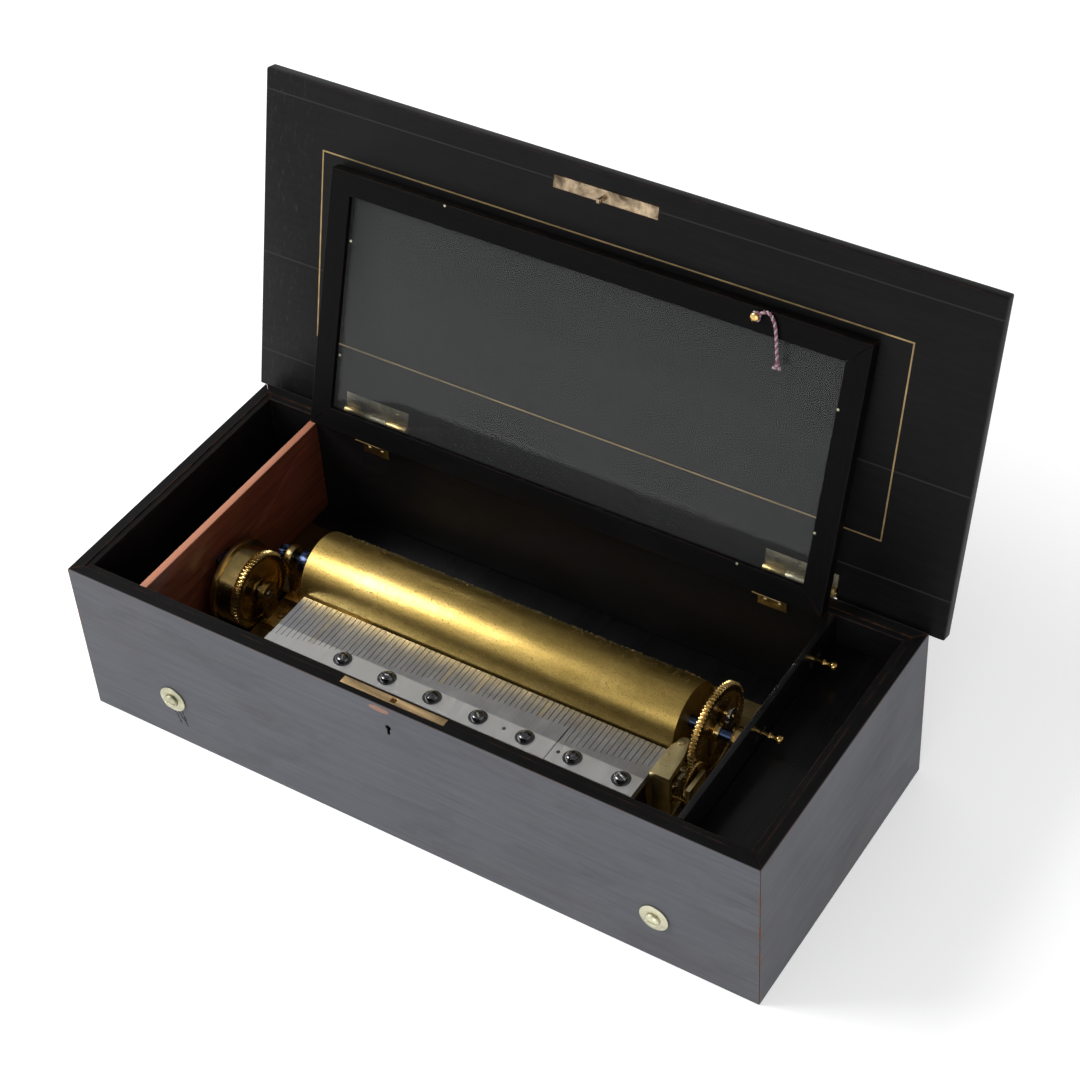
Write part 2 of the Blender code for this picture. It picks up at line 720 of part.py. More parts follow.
case_profile = eased(
    [
        (0, 0),
        (0, CASE_HEIGHT),
        (WALL_THICKNESS - RIM_STEP_WIDTH, CASE_HEIGHT),
        (WALL_THICKNESS - RIM_STEP_WIDTH, CASE_HEIGHT - RIM_STEP_DROP),
        (WALL_THICKNESS, CASE_HEIGHT - RIM_STEP_DROP),
        (WALL_THICKNESS, 0),
    ],
    CASE_EDGE_RADIUS,
    (0, 1, 4),
)
case = {}
for name, length, turn_deg in (
    ("case_front", CASE_LENGTH, 0),
    ("case_right", CASE_DEPTH, 90),
    ("case_back", CASE_LENGTH, 180),
    ("case_left", CASE_DEPTH, 270),
):
    matrix = side_matrix(CASE_LENGTH / 2, CASE_DEPTH / 2, turn_deg)
    case[name] = mitred(name, length, case_profile, matrix, EBONY)

box(
    "case_bottom",
    (-INNER_X + SEAT_GAP, -INNER_Y + SEAT_GAP, 0),
    (INNER_X - SEAT_GAP, INNER_Y - SEAT_GAP, BOTTOM_THICKNESS),
    EBONY,
)

floor_z = BOTTOM_THICKNESS + SEAT_GAP
key_partition = box(
    "key_partition",
    (KEY_WALL_LEFT, -INNER_Y + SEAT_GAP, floor_z),
    (KEY_WALL_RIGHT, INNER_Y - SEAT_GAP, CASE_HEIGHT - KEY_PARTITION_DROP),
    MAHOGANY,
)
cut(
    key_partition,
    rod(
        "winding_hole",
        "X",
        at_yz(KEY_WALL_LEFT - OVERRUN, BARREL_AXIS),
        KEY_PARTITION_THICKNESS + 2 * OVERRUN,
        WINDING_HOLE_RADIUS,
        cutter=True,
    ),
)

LEVER_AXIS_Z = BED_TOP + LEVER_PIVOT_HEIGHT
LEVER_ROD_Z = CASE_HEIGHT - LEVER_KNOB_DROP
LEVER_ROD_HEIGHT = LEVER_ROD_Z - LEVER_AXIS_Z
LEVER_ROD_SWEEP = LEVER_ROD_HEIGHT * math.sin(math.radians(LEVER_SWING_DEG))
LEVER_SLOT_HALF = LEVER_ROD_SWEEP + LEVER_ROD_RADIUS + LEVER_SLOT_GAP
control_partition = box(
    "control_partition",
    (CONTROL_WALL_LEFT, -INNER_Y + SEAT_GAP, floor_z),
    (CONTROL_WALL_RIGHT, INNER_Y - SEAT_GAP, CASE_HEIGHT - CONTROL_PARTITION_DROP),
    BLACK_INSIDE,
)
for name, lever_y in (("start_slot", START_LEVER_Y), ("tune_slot", TUNE_LEVER_Y)):
    cut(
        control_partition,
        box(
            name,
            (CONTROL_WALL_LEFT - OVERRUN, lever_y - LEVER_SLOT_HALF, LEVER_ROD_Z - LEVER_SLOT_HEIGHT / 2),
            (CONTROL_WALL_RIGHT + OVERRUN, lever_y + LEVER_SLOT_HALF, LEVER_ROD_Z + LEVER_SLOT_HEIGHT / 2),
            cutter=True,
        ),
    )
control_floor_z = CASE_HEIGHT - CONTROL_FLOOR_DROP
box(
    "control_floor",
    (CONTROL_WALL_RIGHT + SEAT_GAP, -INNER_Y + SEAT_GAP, control_floor_z - CONTROL_FLOOR_THICKNESS),
    (INNER_X - SEAT_GAP, INNER_Y - SEAT_GAP, control_floor_z),
    BLACK_INSIDE,
)
rear_batten = box(
    "rear_batten",
    (KEY_WALL_RIGHT + SEAT_GAP, INNER_Y - REAR_LEDGE_DEPTH, floor_z),
    (CONTROL_WALL_LEFT - SEAT_GAP, INNER_Y - SEAT_GAP, BED_TOP - REAR_LEDGE_DROP),
    BLACK_INSIDE,
)

# Bedplate, held by two bolts through the front board and two through the back board
bed_left = KEY_WALL_RIGHT + BED_LEFT_GAP
bed_right = CONTROL_WALL_LEFT - BED_RIGHT_GAP
bedplate = box("bedplate", (bed_left, BED_FRONT_Y, BED_BOTTOM), (bed_right, BED_REAR_Y, BED_TOP), BRASS)
soften(bedplate, BED_EDGE_RADIUS, 1)
pocket_left = LEFT_BRACKET_X + BRACKET_THICKNESS / 2 + SEAT_GAP / 2
barrel_left = LEFT_BRACKET_X + BRACKET_THICKNESS / 2 + BRACKET_SPAN_GAP
barrel_body_right = barrel_left + BARREL_BODY_LENGTH
barrel_wheel_left = barrel_body_right + BARREL_NECK_INSET
barrel_wheel_right = barrel_wheel_left + BARREL_WHEEL_THICKNESS
pocket = box(
    "barrel_pocket",
    (pocket_left, BARREL_AXIS[0] - BARREL_POCKET_WIDTH / 2, BED_BOTTOM - OVERRUN),
    (barrel_wheel_right + 2 * SEAT_GAP, BARREL_AXIS[0] + BARREL_POCKET_WIDTH / 2, BED_TOP + OVERRUN),
    cutter=True,
)
cut(bedplate, pocket)


def bolt(name, x, outer_y, inner_y, inward, material, washer=0.0):
    """A slotted bolt along Y: its head outside outer_y, its tip at inner_y, inward the sign of that way."""
    head_y = outer_y - inward * (SEAT_GAP + washer)
    tip = abs(inner_y - head_y)
    profile = [
        (0, tip),
        (0, -BOLT_HEAD_HEIGHT),
        (BOLT_HEAD_RADIUS - BOLT_HEAD_HEIGHT / 2, -BOLT_HEAD_HEIGHT),
        (BOLT_HEAD_RADIUS, -BOLT_HEAD_HEIGHT / 2),
        (BOLT_HEAD_RADIUS, 0),
        (BOLT_SHANK_RADIUS, 0),
        (BOLT_SHANK_RADIUS, tip),
    ]
    at = (x, head_y, BED_MIDDLE)
    piece = turned(name, "Y", at, profile, material, SMALL_STEPS)
    if inward < 0:
        piece.matrix_world = Matrix.Translation(at) @ Matrix.Rotation(RIGHT_ANGLE, 4, "X")
    outside = head_y - inward * BOLT_HEAD_HEIGHT
    low, high = sorted((outside - inward * OVERRUN, outside + inward * BOLT_SLOT_DEPTH))
    slot = box(
        name + "_slot",
        (x - BOLT_HEAD_RADIUS - OVERRUN, low, BED_MIDDLE - BOLT_SLOT_WIDTH / 2),
        (x + BOLT_HEAD_RADIUS + OVERRUN, high, BED_MIDDLE + BOLT_SLOT_WIDTH / 2),
        cutter=True,
    )
    cut(piece, slot)
    return piece


def dished_washer(name, x, face_y, outward, material):
    """A round washer on a face across Y, thinner at its rim than at its hole."""
    profile = [
        (BOLT_HOLE_RADIUS, 0),
        (BOLT_HOLE_RADIUS, WASHER_THICKNESS),
        (BOLT_HEAD_RADIUS, WASHER_THICKNESS),
        (WASHER_RADIUS, WASHER_THICKNESS - WASHER_CROWN),
        (WASHER_RADIUS, 0),
    ]
    at = (x, face_y, BED_MIDDLE)
    piece = turned(name, "Y", at, profile, material, RECESS_STEPS)
    turn = -RIGHT_ANGLE if outward > 0 else RIGHT_ANGLE
    piece.matrix_world = Matrix.Translation(at) @ Matrix.Rotation(turn, 4, "X")
    return piece


for side, bolt_x in (("left", -BOLT_OFFSET_X), ("right", BOLT_OFFSET_X)):
    front_hole = rod(
        "front_bolt_hole_" + side,
        "Y",
        (bolt_x, -CASE_DEPTH / 2 - OVERRUN, BED_MIDDLE),
        WALL_THICKNESS + BOLT_GRIP + 2 * OVERRUN,
        BOLT_HOLE_RADIUS,
        steps=TINY_STEPS,
        cutter=True,
    )
    rear_hole = rod(
        "rear_bolt_hole_" + side,
        "Y",
        (bolt_x, BED_REAR_Y - BOLT_GRIP - OVERRUN, BED_MIDDLE),
        CASE_DEPTH / 2 - BED_REAR_Y + BOLT_GRIP + 2 * OVERRUN,
        BOLT_HOLE_RADIUS,
        steps=TINY_STEPS,
        cutter=True,
    )
    cut(case["case_front"], front_hole)
    cut(case["case_back"], rear_hole)
    cut(rear_batten, rear_hole)
    cut(bedplate, front_hole, rear_hole)
    front_face = -CASE_DEPTH / 2
    dished_washer("bed_washer_front_" + side, bolt_x, front_face - SEAT_GAP, -1, PALE_BRASS)
    washer = SEAT_GAP + WASHER_THICKNESS
    bolt("bed_bolt_front_" + side, bolt_x, front_face, BED_FRONT_Y + BOLT_GRIP, 1, POLISHED_STEEL, washer)
    bolt("bed_bolt_rear_" + side, bolt_x, CASE_DEPTH / 2, BED_REAR_Y - BOLT_GRIP, -1, PALE_BRASS)

# Lock: a selvedge with a box under it in the front board, a sliding bolt, and the lid's strike plate
lock_outer_y = -CASE_DEPTH / 2 + LOCK_SETBACK
lock_inner_y = lock_outer_y + LOCK_PLATE_WIDTH
lock_middle_y = (lock_outer_y + lock_inner_y) / 2
lock_top = CASE_HEIGHT
lock_case = box(
    "lock_case",
    (LOCK_X - LOCK_PLATE_LENGTH / 2, lock_outer_y, lock_top - LOCK_PLATE_THICKNESS),
    (LOCK_X + LOCK_PLATE_LENGTH / 2, lock_inner_y, lock_top),
    BRASS,
)
lock_box_inset = SEAT_GAP
join(
    lock_case,
    box(
        "lock_box",
        (LOCK_X - LOCK_BOX_LENGTH / 2, lock_outer_y + lock_box_inset, lock_top - LOCK_BOX_HEIGHT),
        (LOCK_X + LOCK_BOX_LENGTH / 2, lock_inner_y - lock_box_inset, lock_top - LOCK_PLATE_THICKNESS / 2),
        cutter=True,
    ),
)
cavity_top = lock_top - LOCK_PLATE_THICKNESS
cavity_low_y = lock_outer_y + lock_box_inset + LOCK_BOX_WALL
cavity_high_y = lock_inner_y - lock_box_inset - LOCK_BOX_WALL
cavity = box(
    "lock_cavity",
    (LOCK_X - LOCK_BOX_LENGTH / 2 + LOCK_BOX_WALL, cavity_low_y, cavity_top - LOCK_CAVITY_HEIGHT),
    (LOCK_X + LOCK_BOX_LENGTH / 2 - LOCK_BOX_WALL, cavity_high_y, cavity_top),
    cutter=True,
)
lock_slot = box(
    "lock_slot",
    (LOCK_X - LOCK_SLOT_LENGTH / 2, lock_middle_y - LOCK_SLOT_WIDTH / 2, cavity_top - OVERRUN),
    (LOCK_X + LOCK_SLOT_LENGTH / 2, lock_middle_y + LOCK_SLOT_WIDTH / 2, lock_top + OVERRUN),
    cutter=True,
)
keyhole = rod(
    "keyhole_round",
    "Y",
    (KEYHOLE_X, -CASE_DEPTH / 2 - OVERRUN, CASE_HEIGHT - KEYHOLE_DROP),
    LOCK_SETBACK + LOCK_PLATE_WIDTH / 2 + OVERRUN,
    KEYHOLE_RADIUS,
    cutter=True,
)
keyhole_slot = box(
    "keyhole_slot",
    (
        KEYHOLE_X - KEYHOLE_SLOT_WIDTH / 2,
        -CASE_DEPTH / 2 - OVERRUN,
        CASE_HEIGHT - KEYHOLE_DROP - KEYHOLE_SLOT_LENGTH,
    ),
    (KEYHOLE_X + KEYHOLE_SLOT_WIDTH / 2, lock_middle_y, CASE_HEIGHT - KEYHOLE_DROP),
    cutter=True,
)
cut(lock_case, cavity, lock_slot, keyhole, keyhole_slot)
plate_mortise = box(
    "selvedge_mortise",
    (
        LOCK_X - LOCK_PLATE_LENGTH / 2 - SEAT_GAP,
        lock_outer_y - SEAT_GAP,
        lock_top - LOCK_PLATE_THICKNESS - SEAT_GAP,
    ),
    (LOCK_X + LOCK_PLATE_LENGTH / 2 + SEAT_GAP, lock_inner_y + SEAT_GAP, lock_top + OVERRUN),
    cutter=True,
)
box_mortise = box(
    "lock_box_mortise",
    (
        LOCK_X - LOCK_BOX_LENGTH / 2 - SEAT_GAP,
        lock_outer_y,
        lock_top - LOCK_BOX_HEIGHT - SEAT_GAP,
    ),
    (LOCK_X + LOCK_BOX_LENGTH / 2 + SEAT_GAP, lock_inner_y, lock_top),
    cutter=True,
)
cut(case["case_front"], plate_mortise, box_mortise, keyhole, keyhole_slot)

bolt_low_z = cavity_top - LOCK_CAVITY_HEIGHT + RUNNING_GAP
bolt_low_y = cavity_low_y + RUNNING_GAP
bolt_high_y = cavity_high_y - RUNNING_GAP
bolt_left_x = LOCK_X - LOCK_BOX_LENGTH / 2 + LOCK_BOX_WALL + LOCK_BOLT_REST_GAP
pin_tip_x = LOCK_X - LUG_THICKNESS / 2 - LOCK_PIN_GAP
pin_z = lock_top - LUG_LENGTH / 2 - LUG_EYE_HEIGHT / 2
lock_bolt = box(
    "lock_bolt",
    (bolt_left_x, bolt_low_y, bolt_low_z),
    (bolt_left_x + LOCK_BOLT_LENGTH, bolt_high_y, bolt_low_z + LOCK_BOLT_HEIGHT),
    BRASS,
)
arm_left = pin_tip_x - LOCK_PIN_REACH - LOCK_BOLT_ARM
join(
    lock_bolt,
    box(
        "lock_bolt_arm",
        (arm_left, lock_middle_y - LOCK_BOLT_ARM / 2, bolt_low_z + LOCK_BOLT_HEIGHT / 2),
        (arm_left + LOCK_BOLT_ARM, lock_middle_y + LOCK_BOLT_ARM / 2, pin_z + LOCK_PIN_SIDE),
        cutter=True,
    ),
    box(
        "lock_bolt_pin",
        (arm_left + LOCK_BOLT_ARM / 2, lock_middle_y - LOCK_PIN_SIDE / 2, pin_z - LOCK_PIN_SIDE / 2),
        (pin_tip_x, lock_middle_y + LOCK_PIN_SIDE / 2, pin_z + LOCK_PIN_SIDE / 2),
        cutter=True,
    ),
)

# Wooden lid, modelled closed and then leaned back about its hinge pin
LID_OPEN_DEG = 90 + LID_LEAN_DEG


def swing(name, pin, open_deg, pieces):
    """Hangs closed pieces on an empty at their hinge pin, then turns it open."""
    axis = bpy.data.objects.new(name, None)
    PARTS.objects.link(axis)
    axis.matrix_world = Matrix.Translation(pin)
    for piece in pieces:
        piece.parent = axis
        piece.matrix_parent_inverse = axis.matrix_basis.inverted()
    axis.rotation_euler.x = -math.radians(open_deg)


lid_low = CASE_HEIGHT + LID_CLOSED_GAP
lid_front_y = -CASE_DEPTH / 2 - LID_OVERHANG_FRONT
lid_half = CASE_LENGTH / 2 + LID_OVERHANG_SIDE
lid_board = box(
    "lid_board",
    (-lid_half, lid_front_y, lid_low),
    (lid_half, LID_PIN_Y, lid_low + LID_THICKNESS),
    EBONY,
)
soften(lid_board, LID_EDGE_RADIUS, 2)
lid_moving = [lid_board]
lid_knuckle_gap = RUNNING_GAP
lid_middle_half = LID_HINGE_LENGTH * LID_KNUCKLE_SHARE / 2
for side, hinge_x in (("left", -LID_HINGE_OFFSET_X), ("right", LID_HINGE_OFFSET_X)):
    hinge_half = LID_HINGE_LENGTH / 2
    notch = box(
        "lid_knuckle_notch_" + side,
        (
            hinge_x - hinge_half - LID_PIN_HEAD_HEIGHT - SEAT_GAP,
            LID_PIN_Y - LID_KNUCKLE_RADIUS - 2 * SEAT_GAP,
            lid_low - OVERRUN,
        ),
        (
            hinge_x + hinge_half + LID_PIN_HEAD_HEIGHT + SEAT_GAP,
            LID_PIN_Y + OVERRUN,
            CASE_HEIGHT + LID_KNUCKLE_RADIUS + 2 * SEAT_GAP,
        ),
        cutter=True,
    )
    leaf_mortise = box(
        "lid_leaf_mortise_" + side,
        (
            hinge_x - hinge_half - SEAT_GAP,
            LID_PIN_Y - LID_LEAF_WIDTH - SEAT_GAP,
            lid_low - OVERRUN,
        ),
        (
            hinge_x + hinge_half + SEAT_GAP,
            LID_PIN_Y - LID_KNUCKLE_RADIUS,
            lid_low + LID_LEAF_THICKNESS + SEAT_GAP,
        ),
        cutter=True,
    )
    cut(lid_board, notch, leaf_mortise)

    case_leaf = box(
        "lid_hinge_case_leaf_" + side,
        (
            hinge_x - hinge_half,
            CASE_DEPTH / 2 + SEAT_GAP,
            CASE_HEIGHT - LID_LEAF_WIDTH,
        ),
        (
            hinge_x + hinge_half,
            CASE_DEPTH / 2 + SEAT_GAP + LID_LEAF_THICKNESS,
            CASE_HEIGHT,
        ),
        BRASS,
    )
    knuckle = rod(
        "lid_case_knuckle_" + side,
        "X",
        (hinge_x - hinge_half, LID_PIN_Y, LID_PIN_Z),
        LID_HINGE_LENGTH,
        LID_KNUCKLE_RADIUS,
        steps=KNUCKLE_STEPS,
        cutter=True,
    )
    knuckle_room = box(
        "lid_knuckle_room_" + side,
        (
            hinge_x - lid_middle_half - lid_knuckle_gap,
            CASE_DEPTH / 2 - OVERRUN,
            CASE_HEIGHT - LID_KNUCKLE_RADIUS - SEAT_GAP,
        ),
        (
            hinge_x + lid_middle_half + lid_knuckle_gap,
            LID_PIN_Y + LID_KNUCKLE_RADIUS + OVERRUN,
            CASE_HEIGHT + LID_KNUCKLE_RADIUS + OVERRUN,
        ),
        cutter=True,
    )
    pin = rod(
        "lid_hinge_pin_" + side,
        "X",
        (hinge_x - hinge_half - LID_PIN_HEAD_HEIGHT, LID_PIN_Y, LID_PIN_Z),
        LID_HINGE_LENGTH + 2 * LID_PIN_HEAD_HEIGHT,
        LID_PIN_RADIUS,
        steps=TINY_STEPS,
        cutter=True,
    )
    join(case_leaf, knuckle)
    cut(case_leaf, knuckle_room)
    join(case_leaf, pin)

    lid_leaf = box(
        "lid_hinge_lid_leaf_" + side,
        (hinge_x - hinge_half, LID_PIN_Y - LID_LEAF_WIDTH, lid_low),
        (hinge_x + hinge_half, LID_PIN_Y - LID_KNUCKLE_RADIUS - SEAT_GAP, lid_low + LID_LEAF_THICKNESS),
        BRASS,
    )
    lid_knuckle = rod(
        "lid_knuckle_" + side,
        "X",
        (hinge_x - lid_middle_half, LID_PIN_Y, LID_PIN_Z),
        2 * lid_middle_half,
        LID_KNUCKLE_RADIUS,
        steps=KNUCKLE_STEPS,
        cutter=True,
    )
    neck = box(
        "lid_leaf_neck_" + side,
        (
            hinge_x - lid_middle_half,
            LID_PIN_Y - LID_KNUCKLE_RADIUS - 2 * LID_LEAF_THICKNESS,
            lid_low,
        ),
        (hinge_x + lid_middle_half, LID_PIN_Y, lid_low + LID_LEAF_THICKNESS),
        cutter=True,
    )
    bore = rod(
        "lid_knuckle_bore_" + side,
        "X",
        (hinge_x - lid_middle_half - OVERRUN, LID_PIN_Y, LID_PIN_Z),
        2 * lid_middle_half + 2 * OVERRUN,
        LID_PIN_RADIUS + RUNNING_GAP,
        steps=TINY_STEPS,
        cutter=True,
    )
    join(lid_leaf, neck, lid_knuckle)
    cut(lid_leaf, bore)
    lid_moving.append(lid_leaf)

strike_plate = box(
    "strike_plate",
    (
        LOCK_X - STRIKE_PLATE_LENGTH / 2,
        lock_middle_y - STRIKE_PLATE_WIDTH / 2,
        lid_low - STRIKE_PLATE_PROUD,
    ),
    (
        LOCK_X + STRIKE_PLATE_LENGTH / 2,
        lock_middle_y + STRIKE_PLATE_WIDTH / 2,
        lid_low - STRIKE_PLATE_PROUD + STRIKE_PLATE_THICKNESS,
    ),
    BRASS,
)
lug_low = lock_top - LUG_LENGTH
join(
    strike_plate,
    box(
        "strike_lug",
        (LOCK_X - LUG_THICKNESS / 2, lock_middle_y - LUG_WIDTH / 2, lug_low),
        (LOCK_X + LUG_THICKNESS / 2, lock_middle_y + LUG_WIDTH / 2, lid_low + STRIKE_PLATE_THICKNESS / 2),
        cutter=True,
    ),
)
cut(
    strike_plate,
    box(
        "strike_lug_eye",
        (LOCK_X - LUG_THICKNESS, lock_middle_y - LUG_EYE_WIDTH / 2, pin_z - LUG_EYE_HEIGHT / 2),
        (LOCK_X + LUG_THICKNESS, lock_middle_y + LUG_EYE_WIDTH / 2, pin_z + LUG_EYE_HEIGHT / 2),
        cutter=True,
    ),
)
cut(
    lid_board,
    box(
        "strike_mortise",
        (
            LOCK_X - STRIKE_PLATE_LENGTH / 2 - SEAT_GAP,
            lock_middle_y - STRIKE_PLATE_WIDTH / 2 - SEAT_GAP,
            lid_low - OVERRUN,
        ),
        (
            LOCK_X + STRIKE_PLATE_LENGTH / 2 + SEAT_GAP,
            lock_middle_y + STRIKE_PLATE_WIDTH / 2 + SEAT_GAP,
            lid_low - STRIKE_PLATE_PROUD + STRIKE_PLATE_THICKNESS + SEAT_GAP,
        ),
        cutter=True,
    ),
)
lid_moving.append(strike_plate)

# Glass lid, modelled closed and then leaned back about its own pin
GLASS_OPEN_DEG = 90 + GLASS_LEAN_DEG
frame_left = KEY_WALL_RIGHT + GLASS_FRAME_SIDE_GAP
frame_right = CONTROL_WALL_LEFT - GLASS_FRAME_SIDE_GAP
frame_rear = GLASS_PIN_Y - GLASS_FRAME_PIN_GAP
frame_front = frame_rear - GLASS_FRAME_DEPTH
frame_low = GLASS_PIN_Z - GLASS_FRAME_PIN_DROP
frame_top = frame_low + GLASS_FRAME_THICKNESS
frame_half_length = (frame_right - frame_left) / 2
frame_half_depth = GLASS_FRAME_DEPTH / 2
frame_centre = Matrix.Translation(((frame_left + frame_right) / 2, (frame_front + frame_rear) / 2, frame_low))
rail_profile = eased(
    [
        (0, 0),
        (0, GLASS_FRAME_THICKNESS),
        (GLASS_RAIL_WIDTH - GLASS_REBATE_WIDTH, GLASS_FRAME_THICKNESS),
        (GLASS_RAIL_WIDTH - GLASS_REBATE_WIDTH, GLASS_FRAME_THICKNESS - GLASS_REBATE_DEPTH),
        (GLASS_RAIL_WIDTH, GLASS_FRAME_THICKNESS - GLASS_REBATE_DEPTH),
        (GLASS_RAIL_WIDTH, 0),
    ],
    CASE_EDGE_RADIUS,
    (0, 1, 5),
)
rails = {}
for name, length, turn_deg in (
    ("glass_rail_front", 2 * frame_half_length, 0),
    ("glass_rail_right", 2 * frame_half_depth, 90),
    ("glass_rail_rear", 2 * frame_half_length, 180),
    ("glass_rail_left", 2 * frame_half_depth, 270),
):
    matrix = frame_centre @ side_matrix(frame_half_length, frame_half_depth, turn_deg)
    rails[name] = mitred(name, length, rail_profile, matrix, EBONY)
pane_inset = GLASS_RAIL_WIDTH - GLASS_REBATE_WIDTH + SEAT_GAP
pane_low = frame_top - GLASS_REBATE_DEPTH + SEAT_GAP
glass_pane = box(
    "glass_pane",
    (frame_left + pane_inset, frame_front + pane_inset, pane_low),
    (frame_right - pane_inset, frame_rear - pane_inset, pane_low + GLASS_PANE_THICKNESS),
    GLASS,
)
glass_moving = [glass_pane] + list(rails.values())

glass_hinge_half = GLASS_HINGE_LENGTH / 2
glass_middle_half = GLASS_HINGE_LENGTH * GLASS_KNUCKLE_SHARE / 2
for side, hinge_x in (("left", -GLASS_HINGE_OFFSET_X), ("right", GLASS_HINGE_OFFSET_X)):
    leaf_face = INNER_Y - SEAT_GAP
    case_leaf = box(
        "glass_hinge_case_leaf_" + side,
        (hinge_x - glass_hinge_half, leaf_face - GLASS_LEAF_THICKNESS, GLASS_PIN_Z - GLASS_CASE_LEAF_HEIGHT),
        (hinge_x + glass_hinge_half, leaf_face, GLASS_PIN_Z),
        BRASS,
    )
    knuckle = rod(
        "glass_case_knuckle_" + side,
        "X",
        (hinge_x - glass_hinge_half, GLASS_PIN_Y, GLASS_PIN_Z),
        GLASS_HINGE_LENGTH,
        GLASS_KNUCKLE_RADIUS,
        steps=KNUCKLE_STEPS,
        cutter=True,
    )
    room = box(
        "glass_knuckle_room_" + side,
        (
            hinge_x - glass_middle_half - RUNNING_GAP,
            GLASS_PIN_Y - GLASS_KNUCKLE_RADIUS - OVERRUN,
            GLASS_PIN_Z - GLASS_KNUCKLE_RADIUS - RUNNING_GAP,
        ),
        (hinge_x + glass_middle_half + RUNNING_GAP, INNER_Y + OVERRUN, GLASS_PIN_Z + 2 * GLASS_KNUCKLE_RADIUS),
        cutter=True,
    )
    pin = rod(
        "glass_hinge_pin_" + side,
        "X",
        (hinge_x - glass_hinge_half + SEAT_GAP, GLASS_PIN_Y, GLASS_PIN_Z),
        GLASS_HINGE_LENGTH - 2 * SEAT_GAP,
        GLASS_HINGE_PIN_RADIUS,
        steps=TINY_STEPS,
        cutter=True,
    )
    screws = [
        rod(
            "glass_leaf_screw_" + side + end,
            "Y",
            (
                hinge_x + way * glass_hinge_half / 2,
                leaf_face - GLASS_LEAF_THICKNESS - GLASS_SCREW_HEIGHT,
                GLASS_PIN_Z - GLASS_SCREW_DROP,
            ),
            GLASS_SCREW_HEIGHT + GLASS_LEAF_THICKNESS / 2,
            GLASS_SCREW_CROWN_RADIUS,
            steps=TINY_STEPS,
            cutter=True,
            end_radius=GLASS_SCREW_RADIUS,
        )
        for end, way in (("_a", -1), ("_b", 1))
    ]
    join(case_leaf, knuckle)
    cut(case_leaf, room)
    join(case_leaf, pin, *screws)

    edge_leaf_y = frame_rear + SEAT_GAP
    glass_leaf = box(
        "glass_hinge_lid_leaf_" + side,
        (hinge_x - glass_hinge_half, edge_leaf_y, GLASS_PIN_Z - GLASS_LEAF_HEIGHT),
        (
            hinge_x + glass_hinge_half,
            edge_leaf_y + GLASS_LEAF_THICKNESS,
            GLASS_PIN_Z - GLASS_KNUCKLE_RADIUS - RUNNING_GAP,
        ),
        BRASS,
    )
    neck = box(
        "glass_leaf_neck_" + side,
        (
            hinge_x - glass_middle_half,
            edge_leaf_y,
            GLASS_PIN_Z - GLASS_KNUCKLE_RADIUS - 2 * GLASS_LEAF_THICKNESS,
        ),
        (hinge_x + glass_middle_half, edge_leaf_y + GLASS_LEAF_THICKNESS, GLASS_PIN_Z + GLASS_LEAF_THICKNESS),
        cutter=True,
    )
    lid_knuckle = rod(
        "glass_lid_knuckle_" + side,
        "X",
        (hinge_x - glass_middle_half, GLASS_PIN_Y, GLASS_PIN_Z),
        2 * glass_middle_half,
        GLASS_KNUCKLE_RADIUS,
        steps=KNUCKLE_STEPS,
        cutter=True,
    )
    bore = rod(
        "glass_knuckle_bore_" + side,
        "X",
        (hinge_x - glass_middle_half - OVERRUN, GLASS_PIN_Y, GLASS_PIN_Z),
        2 * glass_middle_half + 2 * OVERRUN,
        GLASS_HINGE_PIN_RADIUS + RUNNING_GAP,
        steps=TINY_STEPS,
        cutter=True,
    )
    join(glass_leaf, neck, lid_knuckle)
    cut(glass_leaf, bore)
    glass_moving.append(glass_leaf)

# The nail in the front rail and the pull cord on it, which lies along the rail and hangs down the pane
nail_y = frame_front + NAIL_SETBACK
nail_hole_depth = NAIL_SHANK_LENGTH - NAIL_STAND_OFF
nail_hole = rod(
    "nail_hole",
    "Z",
    (CORD_NAIL_X, nail_y, frame_low - OVERRUN),
    nail_hole_depth + SEAT_GAP + OVERRUN,
    NAIL_SHANK_RADIUS + SEAT_GAP,
    steps=TINY_STEPS,
    cutter=True,
)
cut(rails["glass_rail_front"], nail_hole)
nail_profile = [
    (0, NAIL_HEAD_HEIGHT + NAIL_SHANK_LENGTH),
    (0, 0),
    (NAIL_CROWN_RADIUS, 0),
    (NAIL_HEAD_RADIUS, NAIL_HEAD_HEIGHT / 2),
    (NAIL_HEAD_RADIUS, NAIL_HEAD_HEIGHT),
    (NAIL_SHANK_RADIUS, NAIL_HEAD_HEIGHT),
    (NAIL_SHANK_RADIUS, NAIL_HEAD_HEIGHT + NAIL_SHANK_LENGTH),
]
cord_nail = turned(
    "cord_nail",
    "Z",
    (CORD_NAIL_X, nail_y, frame_low - NAIL_STAND_OFF - NAIL_HEAD_HEIGHT),
    nail_profile,
    BRASS,
    SMALL_STEPS,
)
glass_moving.append(cord_nail)


def smooth_points(route, parts):
    """Points of a smooth curve through a route, with so many parts between two of its points."""
    route = [Vector(place) for place in route]
    ends = [2 * route[0] - route[1]] + route + [2 * route[-1] - route[-2]]
    points = []
    for before, start, end, after in zip(ends, ends[1:], ends[2:], ends[3:]):
        for part in range(parts):
            t = part / parts
            bend = 2 * before - 5 * start + 4 * end - after
            twist = 3 * start - before - 3 * end + after
            points.append((2 * start + (end - before) * t + bend * t**2 + twist * t**3) / 2)
    return points + [route[-1]]


